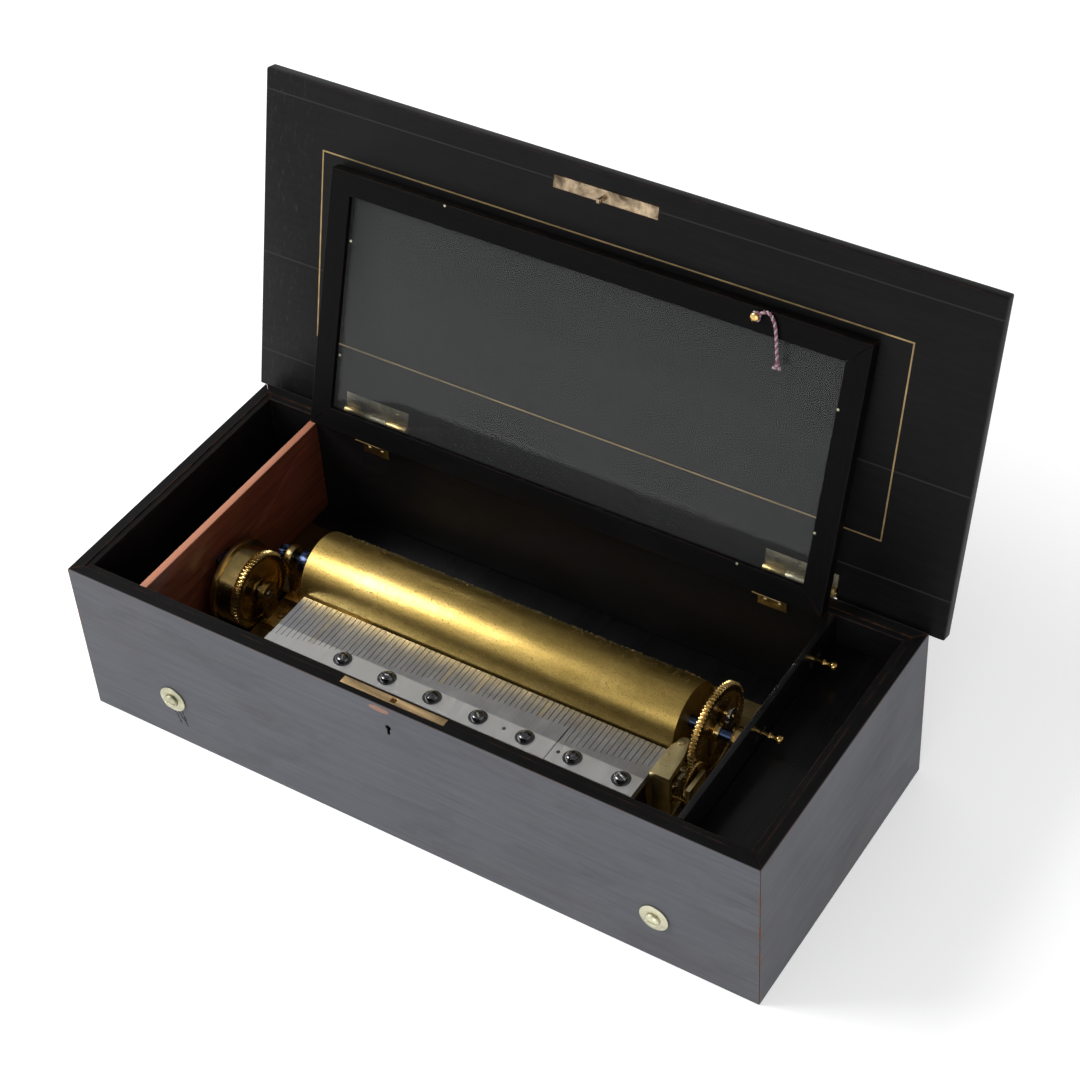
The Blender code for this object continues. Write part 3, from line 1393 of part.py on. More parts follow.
CORD_PATH = (
    (0.0018, -0.0016, 0.0),
    (0.0050, -0.0042, 0.0),
    (0.0090, -0.0038, 0.0),
    (0.0128, 0.0012, 0.0001),
    (0.0152, 0.0090, 0.0002),
    (0.0172, 0.0180, 0.0002),
    (0.0190, 0.0250, 0.0002),
)
cord_rest_z = frame_low - CORD_DIAMETER / 2 - SEAT_GAP
cord_curve = bpy.data.curves.new("pull_cord", "CURVE")
cord_curve.dimensions = "3D"
cord_curve.bevel_depth = CORD_DIAMETER / 2
cord_curve.bevel_resolution = 2
cord_curve.use_fill_caps = True
cord_spline = cord_curve.splines.new("POLY")
cord_points = smooth_points(CORD_PATH, 2)
cord_spline.points.add(len(cord_points) - 1)
for point, (right, down, away) in zip(cord_spline.points, cord_points):
    point.co = (CORD_NAIL_X + right, nail_y + down, cord_rest_z - away, 1)
pull_cord = as_mesh(put("pull_cord", cord_curve, CORD))


def torus_profile(radius, thickness, steps=TUBE_STEPS):
    return [
        (radius + thickness * math.cos(2 * math.pi * i / steps), thickness * math.sin(2 * math.pi * i / steps))
        for i in range(steps)
    ]


def ball(name, at, radius, steps):
    shape = bmesh.new()
    bmesh.ops.create_uvsphere(shape, u_segments=steps, v_segments=steps // 2, radius=radius)
    return put(name, finished_mesh(name, shape, SMOOTH_DEG), None, Matrix.Translation(at), True)


loop_radius = NAIL_SHANK_RADIUS + SEAT_GAP + CORD_DIAMETER / 2
cord_loop = turned(
    "cord_loop",
    "Z",
    (CORD_NAIL_X, nail_y, cord_rest_z),
    torus_profile(loop_radius, CORD_DIAMETER / 2 * LOOP_SQUEEZE_SHARE),
    CORD,
    LOOP_STEPS,
    cutter=True,
)
knot_end = CORD_PATH[-1]
knot_at = (CORD_NAIL_X + knot_end[0], nail_y + knot_end[1], frame_low - CORD_KNOT_RADIUS - SEAT_GAP)
join(pull_cord, cord_loop, ball("cord_knot", knot_at, CORD_KNOT_RADIUS, LOOP_STEPS))
glass_moving.append(pull_cord)


# Bearings of the cylinder and the barrel
def standing_outline(centre, head_radius, width, foot_z, steps):
    """A round head on a straight leg, in the YZ plane, from its foot up."""
    half = width / 2
    spread = math.degrees(math.acos(min(half / head_radius, 1.0)))
    head = arc(centre, head_radius, 180 + spread, -spread, steps)
    return [(centre[0] - half, foot_z)] + head + [(centre[0] + half, foot_z)]


def bearing(name, x, thickness, centre, head_radius, width, foot, bore_radius, material, screws=1):
    """A bearing across X. The foot is (length in +X beyond the leg, width, thickness)."""
    outline = standing_outline(centre, head_radius, width, BED_SEAT, SMALL_STEPS)
    post = plate(name, "X", at_yz(x, (0, 0)), [outline], thickness, material)
    post = as_mesh(post)
    length, foot_width, foot_thickness = foot
    foot_block = box(
        name + "_foot",
        (x - thickness / 4, centre[0] - foot_width / 2, BED_SEAT),
        (x + thickness / 2 + length, centre[0] + foot_width / 2, BED_SEAT + foot_thickness),
        cutter=True,
    )
    join(post, foot_block)
    for i in range(screws):
        place = (i + 0.5) / screws - 0.5
        head = rod(
            name + "_screw_" + str(i),
            "Z",
            (
                x + thickness / 2 + length / 2,
                centre[0] + place * foot_width,
                BED_SEAT + foot_thickness - FOOT_SCREW_HEIGHT,
            ),
            2 * FOOT_SCREW_HEIGHT,
            FOOT_SCREW_RADIUS,
            steps=TINY_STEPS,
            cutter=True,
            end_radius=FOOT_SCREW_RADIUS * SCREW_CROWN_SHARE,
        )
        join(post, head)
    bore = rod(
        name + "_bore",
        "X",
        at_yz(x - thickness / 2 - OVERRUN, centre),
        thickness + 2 * OVERRUN,
        bore_radius,
        cutter=True,
    )
    cut(post, bore)
    return post


arbor_bore = ARBOR_PIVOT_RADIUS + RUNNING_GAP
bearing(
    "left_bridge",
    LEFT_BRIDGE_X,
    BRIDGE_THICKNESS,
    AXIS,
    BRIDGE_HEAD_RADIUS,
    BRIDGE_WAIST_WIDTH,
    (BRIDGE_FOOT_LENGTH, BRIDGE_FOOT_WIDTH, BRIDGE_FOOT_THICKNESS),
    arbor_bore,
    BRASS,
    2,
)
bearing(
    "right_bridge",
    RIGHT_BRIDGE_X,
    BRIDGE_THICKNESS,
    AXIS,
    BRIDGE_HEAD_RADIUS,
    BRIDGE_WAIST_WIDTH,
    (RIGHT_BRIDGE_FOOT_LENGTH, BRIDGE_FOOT_WIDTH, BRIDGE_FOOT_THICKNESS),
    arbor_bore,
    BRASS,
    2,
)
winding_bore = WINDING_PIVOT_RADIUS + RUNNING_GAP
bearing(
    "barrel_bracket_right",
    RIGHT_BRACKET_X,
    BRACKET_THICKNESS,
    BARREL_AXIS,
    BRACKET_HEAD_RADIUS,
    BRACKET_LEG_WIDTH,
    (BRACKET_FOOT_LENGTH, BRACKET_FOOT_WIDTH, BRACKET_FOOT_THICKNESS),
    winding_bore,
    BRASS,
)
left_bracket_outline = standing_outline(
    BARREL_AXIS, LEFT_BRACKET_HEAD_RADIUS, LEFT_BRACKET_WIDTH, BED_SEAT, RECESS_STEPS
)
barrel_left_bracket = as_mesh(
    plate(
        "barrel_bracket_left",
        "X",
        (LEFT_BRACKET_X, 0, 0),
        [left_bracket_outline],
        BRACKET_THICKNESS,
        BRASS,
    )
)
cut(
    barrel_left_bracket,
    rod(
        "barrel_left_bore",
        "X",
        at_yz(LEFT_BRACKET_X - BRACKET_THICKNESS, BARREL_AXIS),
        2 * BRACKET_THICKNESS,
        WINDING_ARBOR_RADIUS + RUNNING_GAP,
        cutter=True,
    ),
)

# Spring barrel with its wheel, and the winding arbor through it
barrel_turn = angle_of(BARREL_DROP_DEG) + math.pi
BARREL_BORE = WINDING_ARBOR_RADIUS + RUNNING_GAP
drum_profile = [
    (0, 0),
    (BARREL_BEAD_RADIUS, 0),
    (BARREL_BEAD_RADIUS, BARREL_BEAD_WIDTH),
    (BARREL_BODY_RADIUS, BARREL_BEAD_WIDTH),
    (BARREL_BODY_RADIUS, BARREL_BODY_LENGTH),
    (BARREL_NECK_RADIUS, BARREL_BODY_LENGTH),
    (BARREL_NECK_RADIUS, BARREL_BODY_LENGTH + BARREL_NECK_INSET + BARREL_WHEEL_THICKNESS / 2),
    (0, BARREL_BODY_LENGTH + BARREL_NECK_INSET + BARREL_WHEEL_THICKNESS / 2),
]
barrel_drum = turned("barrel_drum", "X", at_yz(barrel_left, BARREL_AXIS), drum_profile, BRASS, ROUND_STEPS)
barrel_wheel = plate(
    "barrel_wheel",
    "X",
    at_yz((barrel_wheel_left + barrel_wheel_right) / 2, BARREL_AXIS),
    [
        gear_outline(BARREL_WHEEL_TEETH, BARREL_WHEEL_MODULE, barrel_turn),
    ],
    BARREL_WHEEL_THICKNESS,
    BRASS,
    cutter=True,
)
cap_recess = turned(
    "barrel_cap_recess",
    "X",
    at_yz(barrel_wheel_right - BARREL_CAP_RECESS_DEPTH, BARREL_AXIS),
    [
        (BARREL_CAP_HUB_RADIUS, 0),
        (BARREL_CAP_HUB_RADIUS, BARREL_CAP_RECESS_DEPTH + OVERRUN),
        (BARREL_CAP_RECESS_RADIUS, BARREL_CAP_RECESS_DEPTH + OVERRUN),
        (BARREL_CAP_RECESS_RADIUS, 0),
    ],
    steps=RECESS_STEPS,
    cutter=True,
)
barrel_bore = rod(
    "barrel_bore",
    "X",
    at_yz(barrel_left - OVERRUN, BARREL_AXIS),
    barrel_wheel_right - barrel_left + 2 * OVERRUN,
    BARREL_BORE,
    cutter=True,
)
join(barrel_drum, barrel_wheel)
cut(barrel_drum, cap_recess, barrel_bore)

bracket_right_face = RIGHT_BRACKET_X + BRACKET_THICKNESS / 2
bracket_left_face = RIGHT_BRACKET_X - BRACKET_THICKNESS / 2
winding_tip_x = bracket_right_face + PIVOT_REACH
winding_shoulder_x = bracket_left_face - RUNNING_GAP
winding_round_left = KEY_WALL_LEFT - WINDING_REACH
winding_profile = [
    (0, winding_tip_x),
    (WINDING_PIVOT_RADIUS * PIVOT_CROWN_SHARE, winding_tip_x),
    (WINDING_PIVOT_RADIUS, winding_tip_x - BRACKET_SPAN_GAP),
    (WINDING_PIVOT_RADIUS, winding_shoulder_x),
    (WINDING_ARBOR_RADIUS, winding_shoulder_x),
    (WINDING_ARBOR_RADIUS, winding_round_left),
    (0, winding_round_left),
]
winding_arbor = turned(
    "winding_arbor",
    "X",
    at_yz(0, BARREL_AXIS),
    winding_profile,
    POLISHED_STEEL,
    SMALL_STEPS,
)
square_half = WINDING_SQUARE_SIDE / 2
winding_square = box(
    "winding_square",
    (
        winding_round_left - WINDING_SQUARE_LENGTH,
        BARREL_AXIS[0] - square_half,
        BARREL_AXIS[1] - square_half,
    ),
    (
        winding_round_left + WINDING_SQUARE_SIDE / 2,
        BARREL_AXIS[0] + square_half,
        BARREL_AXIS[1] + square_half,
    ),
    cutter=True,
)
join(winding_arbor, winding_square)

# Ratchet wheel, click and click spring on the left bracket
ratchet_right = LEFT_BRACKET_X - BRACKET_THICKNESS / 2 - RATCHET_SIDE_GAP
ratchet_middle = ratchet_right - RATCHET_THICKNESS / 2


def polar(centre, radius, angle_deg):
    angle = math.radians(angle_deg)
    return (centre[0] + radius * math.cos(angle), centre[1] + radius * math.sin(angle))


ratchet_outline = []
tooth_deg = 360 / RATCHET_TEETH
for tooth in range(RATCHET_TEETH):
    start_deg = CLICK_ANGLE_DEG + tooth * tooth_deg
    ratchet_outline.append(polar((0, 0), RATCHET_RADIUS, start_deg))
    ratchet_outline.append(polar((0, 0), RATCHET_RADIUS * RATCHET_TOOTH_SHARE, start_deg + RATCHET_FACE_DEG))
plate(
    "ratchet_wheel",
    "X",
    at_yz(ratchet_middle, BARREL_AXIS),
    [ratchet_outline, circle(WINDING_ARBOR_RADIUS + SEAT_GAP, SMALL_STEPS)],
    RATCHET_THICKNESS,
    POLISHED_STEEL,
)
click_pivot = polar(BARREL_AXIS, CLICK_PIVOT_REACH, CLICK_ANGLE_DEG + CLICK_PIVOT_DEG)
click_nose = polar(
    BARREL_AXIS,
    RATCHET_RADIUS * RATCHET_TOOTH_SHARE + CLICK_NOSE_GAP,
    CLICK_ANGLE_DEG + CLICK_NOSE_DEG,
)
# The click is drawn as it rides over a tooth's tip, and drops CLICK_RIDE_DEG into the next gap.
ride_turn = Matrix.Rotation(math.radians(CLICK_RIDE_DEG), 2)
nose_way = ride_turn @ Vector((click_nose[0] - click_pivot[0], click_nose[1] - click_pivot[1]))
nose_side = Vector((-nose_way.y, nose_way.x)).normalized() * CLICK_NOSE_WIDTH / 2
nose_turn_deg = math.degrees(math.atan2(nose_way.y, nose_way.x))
click_outline = [tuple(nose_way - nose_side), tuple(nose_way + nose_side)]
boss_start_deg = nose_turn_deg + CLICK_BOSS_OPEN_DEG
boss_end_deg = nose_turn_deg + 360 - CLICK_BOSS_OPEN_DEG
click_outline += arc((0, 0), CLICK_BOSS_RADIUS, boss_start_deg, boss_end_deg, TINY_STEPS)
plate(
    "click",
    "X",
    at_yz(ratchet_middle, click_pivot),
    [click_outline, circle(CLICK_STUD_RADIUS + RUNNING_GAP, TINY_STEPS)],
    RATCHET_THICKNESS,
    POLISHED_STEEL,
)
join(
    barrel_left_bracket,
    rod(
        "click_stud",
        "X",
        at_yz(ratchet_middle - RATCHET_THICKNESS / 2, click_pivot),
        RATCHET_THICKNESS + RATCHET_SIDE_GAP + BRACKET_THICKNESS / 2,
        CLICK_STUD_RADIUS,
        steps=TINY_STEPS,
        cutter=True,
    ),
)
spring_top_z = click_pivot[1] + CLICK_BOSS_RADIUS + CLICK_SPRING_GAP + CLICK_SPRING_THICKNESS
spring_low_z = spring_top_z - CLICK_SPRING_THICKNESS
spring_left_y = click_pivot[0] - CLICK_SPRING_LENGTH
click_spring = box(
    "click_spring",
    (ratchet_middle - CLICK_SPRING_WIDTH / 2, spring_left_y, spring_low_z),
    (ratchet_middle + CLICK_SPRING_WIDTH / 2, click_pivot[0] + CLICK_BOSS_RADIUS, spring_top_z),
    BLUED_STEEL,
)
join(
    click_spring,
    box(
        "click_spring_foot",
        (ratchet_middle - RATCHET_THICKNESS / 2, spring_left_y, spring_low_z - CLICK_SPRING_FOOT),
        (
            ratchet_middle + RATCHET_THICKNESS / 2,
            spring_left_y + CLICK_SPRING_FOOT,
            spring_low_z + CLICK_SPRING_THICKNESS / 2,
        ),
        cutter=True,
    ),
)

# Cylinder and its arbor with the pinion
cap_low = CYLINDER_CAP_RECESS
cap_high = CYLINDER_CAP_RECESS + CYLINDER_CAP_THICKNESS
bore = ARBOR_RADIUS + RUNNING_GAP
inside = CYLINDER_RADIUS - CYLINDER_SHELL_THICKNESS
shell_profile = [
    (CYLINDER_RADIUS, 0),
    (CYLINDER_RADIUS, CYLINDER_LENGTH),
    (inside, CYLINDER_LENGTH),
    (inside, CYLINDER_LENGTH - cap_low),
    (bore, CYLINDER_LENGTH - cap_low),
    (bore, CYLINDER_LENGTH - cap_high),
    (inside, CYLINDER_LENGTH - cap_high),
    (inside, cap_high),
    (bore, cap_high),
    (bore, cap_low),
    (inside, cap_low),
    (inside, 0),
]
turned(
    "cylinder_shell",
    "X",
    at_yz(CYLINDER_LEFT_X, AXIS),
    shell_profile,
    BRASS,
    CYLINDER_STEPS,
)
bridge_right_face = RIGHT_BRIDGE_X + BRIDGE_THICKNESS / 2
bridge_left_face = RIGHT_BRIDGE_X - BRIDGE_THICKNESS / 2
left_bridge_right_face = LEFT_BRIDGE_X + BRIDGE_THICKNESS / 2
collar_right = CYLINDER_LEFT_X - ARBOR_COLLAR_LENGTH
pinion_left = barrel_body_right + PINION_BARREL_GAP
pinion_right = barrel_wheel_right + SEAT_GAP
arbor_tip = bridge_right_face + PIVOT_REACH
arbor_profile = [
    (0, arbor_tip),
    (ARBOR_PIVOT_RADIUS * PIVOT_CROWN_SHARE, arbor_tip),
    (ARBOR_PIVOT_RADIUS, arbor_tip - BRACKET_SPAN_GAP),
    (ARBOR_PIVOT_RADIUS, bridge_left_face - RUNNING_GAP),
    (ARBOR_RADIUS, bridge_left_face - RUNNING_GAP),
    (ARBOR_RADIUS, collar_right),
    (ARBOR_COLLAR_RADIUS, collar_right),
    (ARBOR_COLLAR_RADIUS, collar_right - ARBOR_COLLAR_LENGTH),
    (ARBOR_RADIUS, collar_right - ARBOR_COLLAR_LENGTH),
    (ARBOR_RADIUS, left_bridge_right_face + RUNNING_GAP),
    (ARBOR_PIVOT_RADIUS, left_bridge_right_face + RUNNING_GAP),
    (ARBOR_PIVOT_RADIUS, pinion_left + PINION_LAP),
    (0, pinion_left + PINION_LAP),
]
cylinder_arbor = turned("cylinder_arbor", "X", at_yz(0, AXIS), arbor_profile, BLUED_STEEL, SMALL_STEPS)
pinion_turn = angle_of(BARREL_DROP_DEG) + math.pi / BARREL_PINION_TEETH
join(
    cylinder_arbor,
    plate(
        "barrel_pinion",
        "X",
        at_yz((pinion_left + pinion_right) / 2, AXIS),
        [gear_outline(BARREL_PINION_TEETH, BARREL_WHEEL_MODULE, pinion_turn)],
        pinion_right - pinion_left,
        cutter=True,
    ),
)

# Great wheel, fixed on the arbor, with the tune snail on a stud
great_root = pitch_radius(GREAT_WHEEL_TEETH, GREAT_WHEEL_MODULE) - TOOTH_DEDENDUM_SHARE * GREAT_WHEEL_MODULE
great_middle_x = (GREAT_WHEEL_LEFT_X + GREAT_WHEEL_RIGHT_X) / 2
great_wheel = as_mesh(
    plate(
        "great_wheel",
        "X",
        at_yz(great_middle_x, AXIS),
        [
            gear_outline(GREAT_WHEEL_TEETH, GREAT_WHEEL_MODULE, angle_of(FIRST_DROP_DEG)),
        ],
        GREAT_WHEEL_THICKNESS,
        BRASS,
    )
)
recess_depth = (GREAT_WHEEL_THICKNESS - GREAT_WHEEL_WEB_THICKNESS) / 2
for side, low_x in (
    ("left", GREAT_WHEEL_LEFT_X - OVERRUN),
    ("right", GREAT_WHEEL_RIGHT_X - recess_depth),
):
    ring = [
        (great_root - GREAT_WHEEL_RIM_WIDTH, 0),
        (GREAT_WHEEL_HUB_RADIUS, 0),
        (GREAT_WHEEL_HUB_RADIUS, recess_depth + OVERRUN),
        (great_root - GREAT_WHEEL_RIM_WIDTH, recess_depth + OVERRUN),
    ]
    recess = turned("great_recess_" + side, "X", at_yz(low_x, AXIS), ring, steps=RECESS_STEPS, cutter=True)
    cut(great_wheel, recess)
hub_right = GREAT_WHEEL_RIGHT_X + GREAT_WHEEL_HUB_LENGTH
hub = rod(
    "great_hub",
    "X",
    at_yz(great_middle_x, AXIS),
    hub_right - great_middle_x,
    GREAT_WHEEL_HUB_RADIUS * GREAT_WHEEL_HUB_SHARE,
    cutter=True,
)
great_bore = rod(
    "great_bore",
    "X",
    at_yz(GREAT_WHEEL_LEFT_X - OVERRUN, AXIS),
    hub_right - GREAT_WHEEL_LEFT_X + 2 * OVERRUN,
    ARBOR_RADIUS + SEAT_GAP,
    cutter=True,
)
snail_spot = polar(AXIS, SNAIL_STUD_RADIUS_FROM_AXIS, SNAIL_STUD_DEG)
snail_left = GREAT_WHEEL_RIGHT_X + SNAIL_STAND_OFF
stud = rod(
    "snail_stud",
    "X",
    at_yz(great_middle_x, snail_spot),
    snail_left + SNAIL_THICKNESS + SNAIL_STUD_RADIUS / 2 - great_middle_x,
    SNAIL_STUD_RADIUS,
    steps=TINY_STEPS,
    cutter=True,
)
join(great_wheel, hub, stud)
cut(great_wheel, great_bore)

snail_outline = []
for step in range(SNAIL_STEPS):
    share = SNAIL_LOW_SHARE + (1 - SNAIL_LOW_SHARE) * step / (SNAIL_STEPS - 1)
    sector = 360 / SNAIL_STEPS
    snail_outline += arc((0, 0), SNAIL_RADIUS * share, step * sector, (step + SNAIL_STEP_SHARE) * sector, 3)
plate(
    "tune_snail",
    "X",
    at_yz(snail_left + SNAIL_THICKNESS / 2, snail_spot),
    [snail_outline, circle(SNAIL_STUD_RADIUS + RUNNING_GAP, TINY_STEPS)],
    SNAIL_THICKNESS,
    POLISHED_STEEL,
)

great_tip = great_root + (TOOTH_DEDENDUM_SHARE + TOOTH_ADDENDUM_SHARE) * GREAT_WHEEL_MODULE
great_well_half = math.sqrt(great_tip**2 - CYLINDER_AXIS_HEIGHT**2) + GREAT_WHEEL_WELL_GAP
great_well = box(
    "great_wheel_well",
    (GREAT_WHEEL_LEFT_X - 2 * RUNNING_GAP, AXIS_Y - great_well_half, BED_BOTTOM - OVERRUN),
    (GREAT_WHEEL_RIGHT_X + 2 * RUNNING_GAP, AXIS_Y + great_well_half, BED_TOP + OVERRUN),
    cutter=True,
)
cut(bedplate, great_well)

# Comb: a bass and a treble section, each with its teeth and heel, on one base
comb_top_z = BED_TOP + COMB_TOP
comb_tip_y = AXIS_Y - CYLINDER_RADIUS - COMB_TIP_GAP
comb_back_y = comb_tip_y - COMB_DEPTH
heel_top_z = comb_top_z + COMB_HEEL_RISE
heel_low_z = heel_top_z - COMB_HEEL_THICKNESS


def comb_section(name, left_x, teeth, tooth_length):
    """One section. tooth_length gives a tooth's length from its share of the way along the section."""
    right_x = left_x + teeth * COMB_TOOTH_PITCH - COMB_TOOTH_SLOT
    hidden_root = COMB_HEEL_THICKNESS / 2
    outline = [(right_x, comb_back_y + hidden_root), (left_x, comb_back_y + hidden_root)]
    heel = [(right_x, comb_back_y), (left_x, comb_back_y)]
    for tooth in range(teeth):
        low = left_x + tooth * COMB_TOOTH_PITCH
        high = low + COMB_TOOTH_PITCH - COMB_TOOTH_SLOT
        root_low = comb_tip_y - tooth_length(tooth / teeth)
        root_high = comb_tip_y - tooth_length((tooth + 1) / teeth)
        outline += [(low, comb_tip_y), (high, comb_tip_y)]
        if tooth < teeth - 1:
            slot_end = root_high - COMB_SLOT_DEPTH_PAST_ROOT
            outline += [(high, slot_end), (high + COMB_TOOTH_SLOT, slot_end)]
        if tooth % COMB_HEEL_POINT_EVERY == 0 or tooth == teeth - 1:
            heel.append((low if tooth < teeth - 1 else right_x, root_low if tooth < teeth - 1 else root_high))
    middle_z = comb_top_z - COMB_TOOTH_THICKNESS / 2
    section = as_mesh(plate(name, "Z", (0, 0, middle_z), [outline], COMB_TOOTH_THICKNESS, STEEL))
    heel_middle = (heel_top_z + heel_low_z) / 2
    block = plate(name + "_heel", "Z", (0, 0, heel_middle), [heel], COMB_HEEL_THICKNESS, cutter=True)
    join(section, block)
    for index in range(COMB_SCREW_COUNT):
        screw_x = COMB_FIRST_SCREW_X + index * COMB_SCREW_PITCH
        if not left_x < screw_x < right_x:
            continue
        screw = [
            (0, COMB_SCREW_HEIGHT),
            (0, -COMB_SCREW_HEIGHT / 2),
            (COMB_SCREW_RADIUS, -COMB_SCREW_HEIGHT / 2),
            (COMB_SCREW_RADIUS, COMB_SCREW_RIM_HEIGHT),
            (COMB_SCREW_RADIUS * COMB_DOME_SHARE, COMB_SCREW_HEIGHT * COMB_DOME_SHARE),
        ]
        spot = (screw_x, comb_back_y + COMB_SCREW_INSET, heel_top_z)
        join(section, turned(name + "_screw_" + str(index), "Z", spot, screw, steps=TINY_STEPS, cutter=True))
    return section, right_x


def bass_length(share):
    spread = COMB_BASS_TOOTH_LENGTH - COMB_BASS_SHORT_TOOTH_LENGTH
    return COMB_BASS_SHORT_TOOTH_LENGTH + spread * (1 - share) ** COMB_BASS_CURVE_POWER


def treble_length(share):
    return COMB_TREBLE_TOOTH_LENGTH + (COMB_TREBLE_SHORT_TOOTH_LENGTH - COMB_TREBLE_TOOTH_LENGTH) * share


comb_bass, bass_right = comb_section("comb_bass", COMB_LEFT_X, COMB_BASS_TEETH, bass_length)
treble_left = bass_right + COMB_SECTION_GAP
comb_treble, treble_right = comb_section("comb_treble", treble_left, COMB_TREBLE_TEETH, treble_length)
for side, section, dowel_x in (
    ("bass", comb_bass, bass_right - COMB_SCREW_PITCH),
    ("treble", comb_treble, treble_left + COMB_DOWEL_SETBACK + COMB_DOWEL_RADIUS),
):
    spot = (dowel_x, comb_back_y + COMB_SCREW_INSET, heel_low_z - OVERRUN)
    depth = COMB_HEEL_THICKNESS + 2 * OVERRUN
    cut(section, rod("dowel_hole_" + side, "Z", spot, depth, COMB_DOWEL_RADIUS, steps=TINY_STEPS, cutter=True))
box(
    "comb_base",
    (COMB_LEFT_X + COMB_BASE_RECESS, comb_back_y + COMB_BASE_RECESS, BED_SEAT),
    (treble_right - COMB_BASE_RECESS, comb_back_y + COMB_BASE_RECESS + COMB_BASE_DEPTH, heel_low_z - SEAT_GAP),
    IRON,
)

# Governor: its block, side plate and train
gov_left = GOVERNOR_LEFT_X
gov_right = gov_left + GOVERNOR_WIDTH
gov_front = GOVERNOR_FRONT_Y
slab_top = BED_TOP + GOVERNOR_TOP
slab_low = slab_top - GOVERNOR_TOP_THICKNESS
rear_radius = GOVERNOR_CORNER_RADIUS
slab_outline = [
    (gov_left, gov_front),
    (gov_right, gov_front),
    (gov_left + GOVERNOR_NECK_WIDTH, GOVERNOR_NECK_Y),
]
rear_right_centre = (gov_left + GOVERNOR_REAR_RIGHT - rear_radius, GOVERNOR_REAR_Y - rear_radius)
rear_left_centre = (gov_left + GOVERNOR_REAR_LEFT + rear_radius, GOVERNOR_REAR_Y - rear_radius)
slab_outline += arc(rear_right_centre, rear_radius, 10, 90, GOVERNOR_CORNER_STEPS)
slab_outline += arc(rear_left_centre, rear_radius, 90, 175, GOVERNOR_CORNER_STEPS)
slab_outline.append((gov_left, GOVERNOR_NECK_Y + rear_radius / 2))
governor_block = as_mesh(
    plate(
        "governor_block",
        "Z",
        (0, 0, (slab_top + slab_low) / 2),
        [slab_outline],
        GOVERNOR_TOP_THICKNESS,
        BRASS,
    )
)
soften(governor_block, GOVERNOR_EDGE_CHAMFER, 1)
foot_top = BED_SEAT + GOVERNOR_FOOT_THICKNESS
cheek_left_x = gov_left + GOVERNOR_RIGHT_CHEEK_X
governor_parts = [
    box(
        "governor_column",
        (gov_left + GOVERNOR_PIECE_INSET, gov_front + GOVERNOR_PIECE_INSET, BED_SEAT),
        (
            gov_right - GOVERNOR_PIECE_INSET,
            gov_front + GOVERNOR_COLUMN_DEPTH,
            slab_low + GOVERNOR_TOP_THICKNESS / 2,
        ),
        cutter=True,
    ),
    box(
        "governor_foot",
        (gov_left + GOVERNOR_PIECE_INSET / 2, gov_front + GOVERNOR_PIECE_INSET * 2, BED_SEAT),
        (gov_right - GOVERNOR_PIECE_INSET / 2, GOVERNOR_FOOT_REAR_Y, foot_top),
        cutter=True,
    ),
    box(
        "governor_left_cheek",
        (gov_left, gov_front + GOVERNOR_PIECE_INSET * 3, BED_SEAT),
        (gov_left + GOVERNOR_CHEEK_THICKNESS, GOVERNOR_NECK_Y, BED_TOP + GOVERNOR_LEFT_CHEEK_TOP),
        cutter=True,
    ),
    box(
        "governor_right_cheek",
        (cheek_left_x, FIRST_AXIS[0] - GOVERNOR_SCREW_SETBACK, BED_SEAT),
        (
            cheek_left_x + GOVERNOR_CHEEK_THICKNESS,
            FIRST_AXIS[0] + GOVERNOR_SCREW_SETBACK,
            BED_TOP + GOVERNOR_RIGHT_CHEEK_TOP,
        ),
        cutter=True,
    ),
    rod(
        "governor_screw",
        "Z",
        (
            gov_left + GOVERNOR_SCREW_SETBACK,
            GOVERNOR_REAR_Y - GOVERNOR_SCREW_SETBACK,
            slab_top - FOOT_SCREW_HEIGHT,
        ),
        2 * FOOT_SCREW_HEIGHT,
        GOVERNOR_SCREW_RADIUS,
        steps=SMALL_STEPS,
        cutter=True,
        end_radius=GOVERNOR_SCREW_RADIUS * SCREW_CROWN_SHARE,
    ),
]
join(governor_block, *governor_parts)

side_left = SIDE_PLATE_X - SIDE_PLATE_THICKNESS / 2
train_bore = TRAIN_PIVOT_RADIUS + RUNNING_GAP
cut(
    governor_block,
    rod(
        "first_bore",
        "X",
        at_yz(cheek_left_x - OVERRUN, FIRST_AXIS),
        GOVERNOR_CHEEK_THICKNESS + 2 * OVERRUN,
        train_bore,
        steps=TINY_STEPS,
        cutter=True,
    ),
    rod(
        "second_bore",
        "X",
        at_yz(gov_left - OVERRUN, SECOND_AXIS),
        GOVERNOR_CHEEK_THICKNESS + 2 * OVERRUN,
        train_bore,
        steps=TINY_STEPS,
        cutter=True,
    ),
    rod(
        "fly_low_bore",
        "Z",
        (FLY_X, FLY_Y, foot_top - FLY_PIVOT_LENGTH - SEAT_GAP),
        FLY_PIVOT_LENGTH + SEAT_GAP + OVERRUN,
        FLY_PIVOT_RADIUS + RUNNING_GAP,
        steps=TINY_STEPS,
        cutter=True,
    ),
    rod(
        "fly_high_bore",
        "Z",
        (FLY_X, FLY_Y, slab_low - OVERRUN),
        FLY_PIVOT_LENGTH + SEAT_GAP + OVERRUN,
        FLY_PIVOT_RADIUS + RUNNING_GAP,
        steps=TINY_STEPS,
        cutter=True,
    ),
)
worm_well_half = SECOND_WHEEL_THICKNESS / 2 + 2 * RUNNING_GAP
cut(
    governor_block,
    box(
        "worm_wheel_well",
        (
            FLY_X - worm_well_half,
            SECOND_AXIS[0] - SECOND_TIP_RADIUS,
            SECOND_AXIS[1] - SECOND_TIP_RADIUS - 2 * RUNNING_GAP,
        ),
        (FLY_X + worm_well_half, SECOND_AXIS[0] + SECOND_TIP_RADIUS, foot_top + OVERRUN),
        cutter=True,
    ),
)
side_rear_y = FIRST_AXIS[0] + SIDE_PLATE_MARGIN
